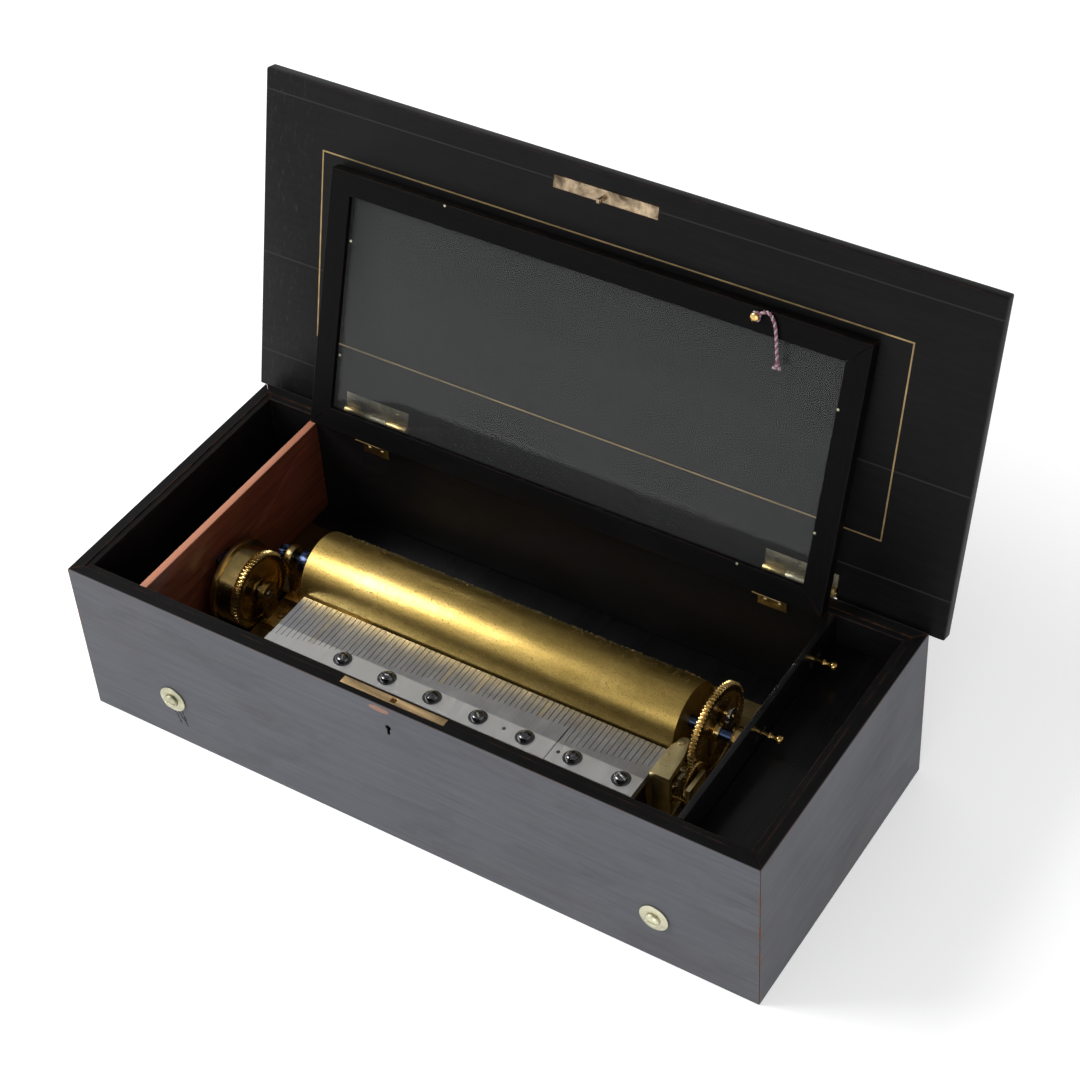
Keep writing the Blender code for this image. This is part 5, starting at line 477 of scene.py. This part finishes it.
# The control compartment's partition and floor, and the batten behind the movement: thin boards
# in gloss black, which mirror the levers' knobs.
gloss_black = new_material("gloss_black", Specular_IOR_Level=0.3, Coat_Weight=0.12, Coat_Roughness=0.10)
gloss_grain = noise(gloss_black, (300, 18, 300), 5.0, 0.6)
gloss_colour = ramp(gloss_black, gloss_grain, (0.3, (0.0025, 0.0024, 0.0028)), (0.8, (0.006, 0.0057, 0.006)))
feed(gloss_black, Base_Color=gloss_colour)
feed(gloss_black, Roughness=ramp(gloss_black, noise(gloss_black, (40, 40, 40)), (0.3, 0.22), (0.7, 0.38)))
bump(gloss_black, gloss_grain, 0.00006, 0.4)
for board in ("control_partition", "control_floor", "rear_batten"):
    dressed(board, gloss_black, "black_inside", 0.0005, 2)

# The bedplate is cast brass, filed flat on top, and everything of the movement stands on it.
# Four slotted bolts hold it, two through the front of the case on dished washers and two through the back.
bed_brass = brass("bed_brass", (0.42, 0.30, 0.12), 0.40, 0.6, (0.16, 0.115, 0.05), (500, 30, 500))
dressed("bedplate", bed_brass, "brass", 0.0004)
pale_brass = brass("pale_brass", (0.78, 0.75, 0.56), 0.46, 0.4, (0.40, 0.39, 0.27))
for end in ("left", "right"):
    dressed("bed_washer_front_" + end, pale_brass, "aged_brass", 0.0002)
    dressed("bed_bolt_front_" + end, pale_brass, "polished_steel", 0.0002)
    dressed("bed_bolt_rear_" + end, pale_brass, "aged_brass", 0.0002)

# The lock is let into the top of the front board: a brass plate with a slot for the lid's lug,
# a box under it, and a bolt that slides through the lug.
lock_brass = brass("lock_brass", (0.86, 0.62, 0.33), 0.44, 0.4, (0.50, 0.34, 0.17), (40, 700, 700))
dressed("lock_case", lock_brass, "brass", 0.0002)
dressed("lock_bolt", lock_brass, "brass", 0.0001)

# The bearings of the cylinder and of the spring barrel: brass castings, filed, screwed to the bedplate.
bearing_brass = brass("bearing_brass", (0.66, 0.46, 0.18), 0.27, 0.45, (0.34, 0.235, 0.09))
for bearing in ("left_bridge", "right_bridge", "barrel_bracket_left", "barrel_bracket_right"):
    dressed(bearing, bearing_brass, "brass", 0.00025)

# The spring barrel: a turned brass drum with its toothed wheel, on the winding arbor.
drum_brass = brass("drum_brass", (0.74, 0.52, 0.20), 0.22, 0.45, (0.36, 0.27, 0.10), (160, 900, 900))
dressed("barrel_drum", drum_brass, "brass", 0.0002)
steel = new_material("polished_steel", Metallic=1.0)
steel_lines = noise(steel, (700, 700, 700), 4.0, 0.65)
feed(steel, Base_Color=ramp(steel, steel_lines, (0.35, (0.34, 0.34, 0.35)), (0.65, (0.60, 0.60, 0.62))))
feed(steel, Roughness=ramp(steel, steel_lines, (0.3, 0.18), (0.7, 0.32)))
bump(steel, steel_lines, 0.00003)
blued = new_material("blued_steel", Metallic=1.0)
blued_cloud = noise(blued, (160, 160, 160), 4.0, 0.6)
feed(blued, Base_Color=ramp(blued, blued_cloud, (0.35, (0.035, 0.045, 0.085)), (0.65, (0.09, 0.13, 0.26))))
feed(blued, Roughness=ramp(blued, blued_cloud, (0.3, 0.2), (0.7, 0.34)))
bump(blued, blued_cloud, 0.00003)
dressed("winding_arbor", steel, "polished_steel", 0.0001)
dressed("ratchet_wheel", steel, "polished_steel", 0.0001)
dressed("click", steel, "polished_steel", 0.0001)
dressed("click_spring", blued, "blued_steel", 0.0001)

# The cylinder: a drawn brass tube, turned bright, in which thousands of fine steel pins stand in rows.
# Each row round it belongs to one tune of one tooth of the comb.
CYLINDER_LEFT = -0.141
CYLINDER_LENGTH = 0.2796
CYLINDER_RADIUS = 0.0265
CYLINDER_AXIS = (0.014, 0.072)
PIN_RADIUS = 0.00017
PIN_HEIGHT = 0.00075
PIN_COUNT = 4200
ROW_PITCH = 0.00386 / 6
cylinder_brass = new_material("cylinder_brass", Metallic=1.0)
ring_lines = noise(cylinder_brass, (1500, 25, 25), 3.0, 0.6)
ring_cloud = noise(cylinder_brass, (16, 45, 45), 5.0, 0.65, 0.5)
pin_specks = noise(cylinder_brass, (1550, 1200, 1200), 1.0, 0.5)
cylinder_colour = ramp(
    cylinder_brass,
    ring_cloud,
    (0.32, (0.47, 0.32, 0.085)),
    (0.55, (0.66, 0.46, 0.135)),
    (0.75, (0.78, 0.57, 0.20)),
)
ring_share = ramp(cylinder_brass, ring_lines, (0.4, 0.0), (0.7, 0.25))
cylinder_colour = mixed(cylinder_brass, ring_share, cylinder_colour, (0.38, 0.26, 0.07))
speck_share = ramp(cylinder_brass, pin_specks, (0.60, 0.0), (0.68, 0.65))
cylinder_colour = mixed(cylinder_brass, speck_share, cylinder_colour, (0.17, 0.125, 0.05))
feed(cylinder_brass, Base_Color=cylinder_colour)
feed(cylinder_brass, Roughness=ramp(cylinder_brass, ring_lines, (0.3, 0.30), (0.7, 0.44)))
bump(cylinder_brass, sum_of(cylinder_brass, "ADD", ring_lines, pin_specks), 0.00006)
dressed("cylinder_shell", cylinder_brass, "brass", 0.0003)
bpy.ops.mesh.primitive_cone_add(vertices=4, radius1=PIN_RADIUS, radius2=PIN_RADIUS * 0.7, depth=PIN_HEIGHT * 1.4)
pin = bpy.context.view_layer.objects.active
pin_points = np.array([point.co for point in pin.data.vertices])
pin_faces = [tuple(face.vertices) for face in pin.data.polygons]
bpy.data.objects.remove(pin)
chance = random.Random(1880)
points, faces = [], []
for i in range(PIN_COUNT):
    row = chance.randrange(8, int(CYLINDER_LENGTH / ROW_PITCH) - 8)
    angle = chance.uniform(0, 2 * math.pi)
    out = np.array((0.0, math.cos(angle), math.sin(angle)))
    across = np.array((0.0, -math.sin(angle), math.cos(angle)))
    root = np.array((CYLINDER_LEFT + (row + 0.5) * ROW_PITCH, CYLINDER_AXIS[0], CYLINDER_AXIS[1]))
    root = root + out * (CYLINDER_RADIUS + PIN_HEIGHT * 0.3)
    turned = np.array(((1.0, 0.0, 0.0), across, out))
    faces += [tuple(corner + len(points) for corner in face) for face in pin_faces]
    points += [tuple(place) for place in pin_points @ turned + root]
pins = bpy.data.objects.new("cylinder_pins", bpy.data.meshes.new("cylinder_pins"))
pins.data.from_pydata(points, [], faces)
bpy.context.scene.collection.objects.link(pins)
select_only(pins)
bpy.ops.object.mode_set(mode="EDIT")
bpy.ops.mesh.select_all(action="SELECT")
bpy.ops.mesh.normals_make_consistent(inside=False)
bpy.ops.object.mode_set(mode="OBJECT")
pin_brass = brass("pin_steel", (0.50, 0.40, 0.20), 0.32, 0.4, (0.22, 0.17, 0.08))
pins.data.materials.append(pin_brass)
settle(pins, "cylinder", "brass")

# The arbor through the cylinder is blued steel, with the great wheel at its right end.
# The tune snail on the wheel's stud shifts the cylinder to the next tune.
wheel_brass = brass("wheel_brass", (0.76, 0.53, 0.20), 0.24, 0.4, (0.42, 0.29, 0.11))
dressed("cylinder_arbor", blued, "blued_steel", 0.0001)
dressed("great_wheel", wheel_brass, "brass", 0.0001)
dressed("tune_snail", steel, "polished_steel", 0.0001)

# The comb: a bass and a treble plate of ground steel, their teeth cut with a fine saw, on an iron base.
# Seven slotted steel screws on washers hold it down by its heel, which is ground brighter than the teeth.
HEEL_EDGE = -0.0425
SCREW_PLACE = (-0.0817, -0.0485, 0.0727)
SCREW_PITCH = 0.0343
SCREW_COUNT = 7
SCREW_RADIUS = 0.0046
SCREW_HEIGHT = 0.0033
SCREW_SLOT = (0.0011, 0.0012)
WASHER = (0.0062, 0.0005)
DOME_SHARE = 0.8
comb_steel = new_material("comb_steel", Metallic=1.0)
comb_lines = noise(comb_steel, (900, 30, 900), 4.0, 0.65)
comb_cloud = noise(comb_steel, (60, 60, 60), 5.0, 0.65, 0.6)
comb_colour = ramp(comb_steel, comb_cloud, (0.35, (0.44, 0.45, 0.47)), (0.68, (0.60, 0.61, 0.64)))
line_share = ramp(comb_steel, comb_lines, (0.4, 0.0), (0.7, 0.3))
comb_colour = mixed(comb_steel, line_share, comb_colour, (0.30, 0.305, 0.32))
heel = sum_of(comb_steel, "SUBTRACT", 1.0, step(comb_steel, object_place(comb_steel)["Y"], HEEL_EDGE, 0.0008))
comb_colour = mixed(comb_steel, heel, comb_colour, (0.90, 0.90, 0.89))
feed(comb_steel, Base_Color=comb_colour)
feed(comb_steel, Roughness=ramp(comb_steel, comb_lines, (0.3, 0.34), (0.7, 0.5)))
bump(comb_steel, comb_lines, 0.00004)
iron = new_material("iron", Metallic=0.6)
iron_grain = noise(iron, (500, 500, 500), 4.0, 0.7)
feed(iron, Base_Color=ramp(iron, iron_grain, (0.3, (0.022, 0.022, 0.023)), (0.7, (0.06, 0.058, 0.055))))
feed(iron, Roughness=ramp(iron, iron_grain, (0.3, 0.5), (0.7, 0.7)))
bump(iron, iron_grain, 0.0001)
for section in ("comb_bass", "comb_treble"):
    dressed(section, comb_steel, "comb_steel", 0.0001, 1)
dressed("comb_base", iron, "iron", 0.0003)


def slotted_screw(name, radius, height, slot, washer=None):
    """A domed screw head with a slot across it, standing on the origin, on a washer if one is asked for."""
    half = height / 2
    bpy.ops.mesh.primitive_cylinder_add(vertices=40, radius=radius, depth=height, location=(0, 0, half))
    head = bpy.context.view_layer.objects.active
    head.name = head.data.name = name
    select_only(head)
    bpy.ops.object.transform_apply(location=True)
    bpy.ops.object.mode_set(mode="EDIT")
    bpy.ops.mesh.select_all(action="DESELECT")
    bpy.ops.object.mode_set(mode="OBJECT")
    for edge in head.data.edges:
        edge.select = all(head.data.vertices[corner].co.z > half for corner in edge.vertices)
    for corner in head.data.vertices:
        corner.select = corner.co.z > half
    bpy.ops.object.mode_set(mode="EDIT")
    bpy.ops.mesh.bevel(offset=height * DOME_SHARE, segments=6, affect="EDGES")
    bpy.ops.object.mode_set(mode="OBJECT")
    bpy.ops.mesh.primitive_cube_add(size=1.0, location=(0, 0, height))
    cutter = bpy.context.view_layer.objects.active
    cutter.scale = (slot[0], 3 * radius, 2 * slot[1])
    select_only(head)
    cut = head.modifiers.new("slot", "BOOLEAN")
    cut.operation = "DIFFERENCE"
    cut.solver = "EXACT"
    cut.object = cutter
    bpy.ops.object.modifier_apply(modifier=cut.name)
    bpy.data.objects.remove(cutter)
    if washer:
        across, thick = washer
        bpy.ops.mesh.primitive_cylinder_add(vertices=48, radius=across, depth=thick, location=(0, 0, thick / 2))
        ring = bpy.context.view_layer.objects.active
        select_only(ring)
        edge = ring.modifiers.new("edge", "BEVEL")
        edge.width = thick * 0.4
        bpy.ops.object.modifier_apply(modifier=edge.name)
        select_only(ring, head)
        bpy.ops.object.join()
    bpy.ops.object.shade_smooth_by_angle(angle=math.radians(SMOOTH_DEG))
    return head


screw_steel = new_material("screw_steel", Metallic=1.0)
screw_cloud = noise(screw_steel, (500, 500, 500), 4.0, 0.6)
screw_colour = ramp(screw_steel, screw_cloud, (0.35, (0.10, 0.10, 0.105)), (0.65, (0.26, 0.26, 0.27)))
feed(screw_steel, Base_Color=screw_colour)
feed(screw_steel, Roughness=ramp(screw_steel, screw_cloud, (0.3, 0.12), (0.7, 0.28)))
bump(screw_steel, screw_cloud, 0.00003)
comb_screw = slotted_screw("comb_screw_0", SCREW_RADIUS, SCREW_HEIGHT, SCREW_SLOT, WASHER)
comb_screw.data.materials.append(screw_steel)
for i in range(SCREW_COUNT):
    screw = comb_screw
    if i < SCREW_COUNT - 1:
        screw = bpy.data.objects.new("comb_screw_" + str(i + 1), comb_screw.data.copy())
        bpy.context.scene.collection.objects.link(screw)
    turn = Matrix.Rotation(math.radians(25 + 67 * i), 4, "Z")
    place = Vector((SCREW_PLACE[0] + SCREW_PITCH * i, SCREW_PLACE[1], SCREW_PLACE[2]))
    screw.data.transform(Matrix.Translation(place) @ turn)
    settle(screw, "case", "comb_steel")

# The governor: a brass block screwed to the bedplate, its side plate, two geared arbors
# and a fly whose vanes hold the speed.
governor_brass = brass("governor_brass", (0.84, 0.70, 0.36), 0.34, 0.4, (0.56, 0.45, 0.21))
dressed("governor_block", governor_brass, "brass", 0.00025)
dressed("governor_side_plate", governor_brass, "brass", 0.00025)
for wheel in ("first_wheel", "second_wheel"):
    dressed(wheel, wheel_brass, "brass", 0.00006, 1)
dressed("fly", steel, "polished_steel", 0.00006, 1)

# Two brass levers stand on the bedplate, for start and stop and for tune change.
# Their knobs reach through slots into the control compartment.
lever_brass = brass("lever_brass", (0.72, 0.48, 0.16), 0.2, 0.5, (0.30, 0.19, 0.06))
for lever in ("start_stop_lever", "tune_change_lever"):
    dressed(lever, lever_brass, "brass", 0.00015)

# The lid: a wide ebonised board, jointed from boards, whose rear edge runs past the hinge pins.
# It is black and scuffed inside, greyed with a painted sheen outside, and carries two butt hinges, screwed on, and
# the strike plate.
LID_PIN = Vector((0.0, 0.110, 0.122))
LID_OPEN_DEG = 103.75
LID_REAR_REACH = 0.0054
LID_ROUNDING = 0.0013
LID_OUTER = 0.0088
lid_wood = ebonised(
    "ebonised_lid", (14, 260, 260), (0.0030, 0.0028, 0.0032), (0.0060, 0.0055, 0.0060), 0.42, wear=0.25, gloss=0.12
)
LID_JOINTS = ((0.095, 0.00035), (0.210, 0.0003), (0.0225, 0.0003))
lid_turn = lean_back(LID_PIN, LID_OPEN_DEG)
along_lid = lid_turn.to_3x3() @ Vector((0, -1, 0))
lid_place = add_node(lid_wood, "TexCoord").outputs["Object"]
pin_distance = add_node(lid_wood, "VectorMath", {0: lid_place, 1: along_lid}, operation="DOT_PRODUCT")
pin_distance = sum_of(lid_wood, "SUBTRACT", pin_distance.outputs["Value"], along_lid.dot(LID_PIN))
lid_colour = lid_wood.node_tree.nodes["Principled BSDF"].inputs["Base Color"].links[0].from_socket
for place, half_width in LID_JOINTS:
    joint = between(lid_wood, pin_distance, place, half_width, half_width)
    lid_colour = mixed(lid_wood, sum_of(lid_wood, "MULTIPLY", joint, 0.7), lid_colour, (0.030, 0.027, 0.027))
lid_x = object_place(lid_wood)["X"]
scuffed = sum_of(lid_wood, "SUBTRACT", 1.0, step(lid_wood, lid_x, -0.235, 0.03))
scuffs = ramp(lid_wood, noise(lid_wood, (420, 130, 130), 8.0, 0.8, 0.3), (0.54, 0.0), (0.70, 0.40))
lid_colour = mixed(lid_wood, sum_of(lid_wood, "MULTIPLY", scuffed, scuffs), lid_colour, (0.055, 0.054, 0.054))
out_of_lid = lid_turn.to_3x3() @ Vector((0, 0, 1))
lid_height = add_node(lid_wood, "VectorMath", {0: lid_place, 1: out_of_lid}, operation="DOT_PRODUCT")
lid_height = sum_of(lid_wood, "SUBTRACT", lid_height.outputs["Value"], out_of_lid.dot(LID_PIN))
# The outer face takes the greyed colour that holds a painted sheen.
outer_face = step(lid_wood, lid_height, LID_OUTER, 0.0004)
outer_grain = noise(lid_wood, LONG_GRAIN, 6.0, 0.62, 0.4)
outer_colour = ramp(lid_wood, outer_grain, (0.30, FADED_SHEEN), (0.70, FADED_SHEEN_LIGHT))
lid_colour = mixed(lid_wood, outer_face, lid_colour, outer_colour)
feed(lid_wood, Base_Color=lid_colour)
lid_board = dressed("lid_board", lid_wood, "ebonised_wood", 0)
for corner in lid_board.data.vertices:
    closed = lid_turn.inverted() @ corner.co
    if closed.y > LID_PIN.y - LID_ROUNDING:
        corner.co = lid_turn @ (closed + Vector((0, LID_REAR_REACH, 0)))
hinge_brass = brass("hinge_brass", (0.60, 0.44, 0.19), 0.34, 0.5, (0.32, 0.23, 0.10))
dull_brass = brass("dull_brass", (0.40, 0.36, 0.25), 0.5, 0.35, (0.13, 0.115, 0.08), (60, 60, 60))
for side in ("left", "right"):
    dressed("lid_hinge_case_leaf_" + side, hinge_brass, "brass", 0.00015)
    dressed("lid_hinge_lid_leaf_" + side, dull_brass, "brass", 0.00015)
strike_brass = brass("strike_brass", (0.60, 0.46, 0.30), 0.42, 0.22, (0.07, 0.048, 0.03), (150, 420, 420))
dressed("strike_plate", strike_brass, "brass", 0.00012)
LEAF_SCREW = (0.0023, 0.0004)
LEAF_SCREW_SLOT = (0.0005, 0.0002)
LEAF_SCREW_PLACES = (-0.017, 0.0, 0.017)
LEAF_SCREW_FROM_PIN = 0.0080
LEAF_SEAT = 0.12248
HINGE_X = 0.160
leaf_screw = slotted_screw("lid_leaf_screw", *LEAF_SCREW, LEAF_SCREW_SLOT)
leaf_screw.data.materials.append(dull_brass)
face_down = Matrix.Rotation(math.pi, 4, "X")
for hinge, hinge_x in (("left", -HINGE_X), ("right", HINGE_X)):
    for i, off_x in enumerate(LEAF_SCREW_PLACES):
        screw = bpy.data.objects.new("lid_leaf_screw_" + hinge + "_" + str(i), leaf_screw.data.copy())
        bpy.context.scene.collection.objects.link(screw)
        place = Matrix.Translation((hinge_x + off_x, LID_PIN.y - LEAF_SCREW_FROM_PIN, LEAF_SEAT))
        turn = Matrix.Rotation(math.radians(40 + 55 * i), 4, "Z")
        screw.data.transform(lid_turn @ place @ face_down @ turn)
        settle(screw, "lid", "brass")
bpy.data.objects.remove(leaf_screw)

# A brass line is let into the lid's inner face, as a rectangle.
LINE_ENDS = (-0.212, 0.2085)
LINE_FROM_PIN = (0.046, 0.180)
LINE_WIDTH = 0.0010
LINE_PROUD = 0.00006
LID_LOW = 0.1224
line_middle = (sum(LINE_ENDS) / 2, LID_PIN.y - sum(LINE_FROM_PIN) / 2, LID_LOW - LINE_PROUD)
bpy.ops.mesh.primitive_plane_add(size=1.0, location=line_middle)
line = bpy.context.view_layer.objects.active
line.name = line.data.name = "lid_line"
line.scale = (LINE_ENDS[1] - LINE_ENDS[0], LINE_FROM_PIN[1] - LINE_FROM_PIN[0], 1)
select_only(line)
bpy.ops.object.transform_apply(location=True, rotation=True, scale=True)
bpy.ops.object.mode_set(mode="EDIT")
bpy.ops.mesh.select_all(action="SELECT")
bpy.ops.mesh.inset(thickness=LINE_WIDTH)
bpy.ops.mesh.delete(type="FACE")
bpy.ops.mesh.select_all(action="SELECT")
bpy.ops.mesh.extrude_region_move(TRANSFORM_OT_translate={"value": (0, 0, 3 * LINE_PROUD)})
bpy.ops.mesh.select_all(action="SELECT")
bpy.ops.mesh.normals_make_consistent(inside=False)
bpy.ops.object.mode_set(mode="OBJECT")
line.data.transform(lid_turn)
line_brass = brass("line_brass", (0.52, 0.38, 0.18), 0.45, 0.5, (0.20, 0.14, 0.07), (90, 90, 90))
line.data.materials.append(line_brass)
settle(line, "lid", "brass")

# The inner lid: four ebonised rails halved at the corners round a thin, slightly dusty pane, on two small
# brass hinges. Small pale pins in the rails hold the pane.
RAIL_BLACK = (0.0020, 0.0019, 0.0022)
RAIL_LIGHT = (0.0036, 0.0033, 0.0037)
rail_wood = ebonised("ebonised_rails", (20, 300, 300), RAIL_BLACK, RAIL_LIGHT, 0.38, wear=0.12, gloss=0.06)
stile_wood = ebonised("ebonised_stiles", (300, 20, 20), RAIL_BLACK, RAIL_LIGHT, 0.38, wear=0.12, gloss=0.06)
for rail in ("front", "rear"):
    coat("glass_rail_" + rail, rail_wood)
for rail in ("left", "right"):
    coat("glass_rail_" + rail, stile_wood)
pane = new_material("pane_glass", Transmission_Weight=0.988, IOR=1.20, Roughness=0.0)
pane_dust = noise(pane, (35, 35, 35), 5.0, 0.7, 0.8)
feed(pane, Base_Color=ramp(pane, pane_dust, (0.3, (0.95, 0.97, 0.97)), (0.8, (0.88, 0.90, 0.90))))
pane_rays = add_node(pane, "LightPath").outputs
shadow_ray = sum_of(pane, "MAXIMUM", pane_rays["Is Shadow Ray"], pane_rays["Is Diffuse Ray"])
clear = add_node(pane, "BsdfTransparent", {"Color": (0.95, 0.96, 0.96, 1.0)})
pane_mix = add_node(pane, "MixShader", {"Fac": shadow_ray})
pane.node_tree.links.new(pane.node_tree.nodes["Principled BSDF"].outputs[0], pane_mix.inputs[1])
pane.node_tree.links.new(clear.outputs[0], pane_mix.inputs[2])
pane.node_tree.links.new(pane_mix.outputs[0], pane.node_tree.nodes["Material Output"].inputs["Surface"])
coat("glass_pane", pane)
GLAZING_PIN = (0.0009, 0.0006)
GLAZING_PIN_SLOT = (0.0003, 0.0002)
GLAZING_PINS = (
    (-0.1097, -0.0896),
    (-0.1774, -0.0460),
    (-0.1779, 0.0342),
    (0.1736, -0.0450),
    (0.1736, 0.0366),
    (0.1273, 0.0750),
)
RAIL_FACE = 0.1115
glazing_pin = slotted_screw("glazing_pin", *GLAZING_PIN, GLAZING_PIN_SLOT)
glazing_pin.data.materials.append(pale_brass)
glass_turn = lean_back(GLASS_PIN, GLASS_OPEN_DEG)
for i, (pin_x, pin_y) in enumerate(GLAZING_PINS):
    nail_head = bpy.data.objects.new("glazing_pin_" + str(i), glazing_pin.data.copy())
    bpy.context.scene.collection.objects.link(nail_head)
    nail_head.data.transform(glass_turn @ Matrix.Translation((pin_x, pin_y, RAIL_FACE)) @ face_down)
    settle(nail_head, "glass_lid", "brass")
bpy.data.objects.remove(glazing_pin)
for side in ("left", "right"):
    for leaf in ("glass_hinge_case_leaf_", "glass_hinge_lid_leaf_"):
        dressed(leaf + side, hinge_brass, "brass", 0.0001)

# The studio: a white floor, and a surround that the camera sees white and mirrors see dimmer overhead.
# One large soft lamp stands in front on the left, and a weaker one in front on the right.
FLOOR_SIZE = 30.0
PAPER_GLOW = 0.40
bpy.ops.mesh.primitive_plane_add(size=FLOOR_SIZE, location=(0, 0, 0))
floor = bpy.context.view_layer.objects.active
floor.name = floor.data.name = "studio_floor"
paper = new_material("white_paper", Base_Color=(0.86, 0.86, 0.87, 1.0), Roughness=0.9, Specular_IOR_Level=0.1)
paper_rays = add_node(paper, "LightPath")
paper_seen = sum_of(paper, "MAXIMUM", paper_rays.outputs["Is Camera Ray"], paper_rays.outputs["Is Glossy Ray"])
paper_shine = sum_of(paper, "MULTIPLY", paper_seen, PAPER_GLOW)
paper_glow = add_node(paper, "Emission", {"Color": (1, 1, 1, 1), "Strength": paper_shine})
paper_sum = add_node(paper, "AddShader")
paper.node_tree.links.new(paper.node_tree.nodes["Principled BSDF"].outputs[0], paper_sum.inputs[0])
paper.node_tree.links.new(paper_glow.outputs[0], paper_sum.inputs[1])
paper.node_tree.links.new(paper_sum.outputs[0], paper.node_tree.nodes["Material Output"].inputs["Surface"])
floor.data.materials.append(paper)
world = bpy.data.worlds.new("white_surround")
bpy.context.scene.world = world
world.use_nodes = True
rays = world.node_tree.nodes.new("ShaderNodeLightPath")
way = world.node_tree.nodes.new("ShaderNodeSeparateXYZ")
world.node_tree.links.new(world.node_tree.nodes.new("ShaderNodeTexCoord").outputs["Generated"], way.inputs[0])
overhead = world.node_tree.nodes.new("ShaderNodeMapRange")
world.node_tree.links.new(way.outputs["Z"], overhead.inputs["Value"])
for socket, value in (("From Min", 0.15), ("From Max", 0.75), ("To Min", 1.0), ("To Max", 0.22)):
    overhead.inputs[socket].default_value = value
mirrored = world.node_tree.nodes.new("ShaderNodeMix")
world.node_tree.links.new(rays.outputs["Is Glossy Ray"], mirrored.inputs[0])
world.node_tree.links.new(overhead.outputs[0], mirrored.inputs[3])
mirrored.inputs[2].default_value = 0.50
shown = world.node_tree.nodes.new("ShaderNodeMix")
world.node_tree.links.new(rays.outputs["Is Camera Ray"], shown.inputs[0])
world.node_tree.links.new(mirrored.outputs[0], shown.inputs[2])
shown.inputs[3].default_value = 1.0
world.node_tree.links.new(shown.outputs[0], world.node_tree.nodes["Background"].inputs["Strength"])
world.node_tree.nodes["Background"].inputs["Color"].default_value = (1.0, 1.0, 1.0, 1.0)


def soft_lamp(name, place, aim, size, watts):
    data = bpy.data.lights.new(name, "AREA")
    data.size = size
    data.energy = watts
    lamp = bpy.data.objects.new(name, data)
    lamp.location = place
    lamp.rotation_euler = (Vector(aim) - Vector(place)).to_track_quat("-Z", "Y").to_euler()
    bpy.context.scene.collection.objects.link(lamp)


soft_lamp("main_softbox", (-1.5, -0.7, 1.7), (0, 0, 0.05), 1.0, 34)
soft_lamp("front_softbox", (0.9, -2.2, 1.0), (0, 0, 0.05), 1.6, 12)

bpy.context.scene.view_settings.view_transform = "Standard"
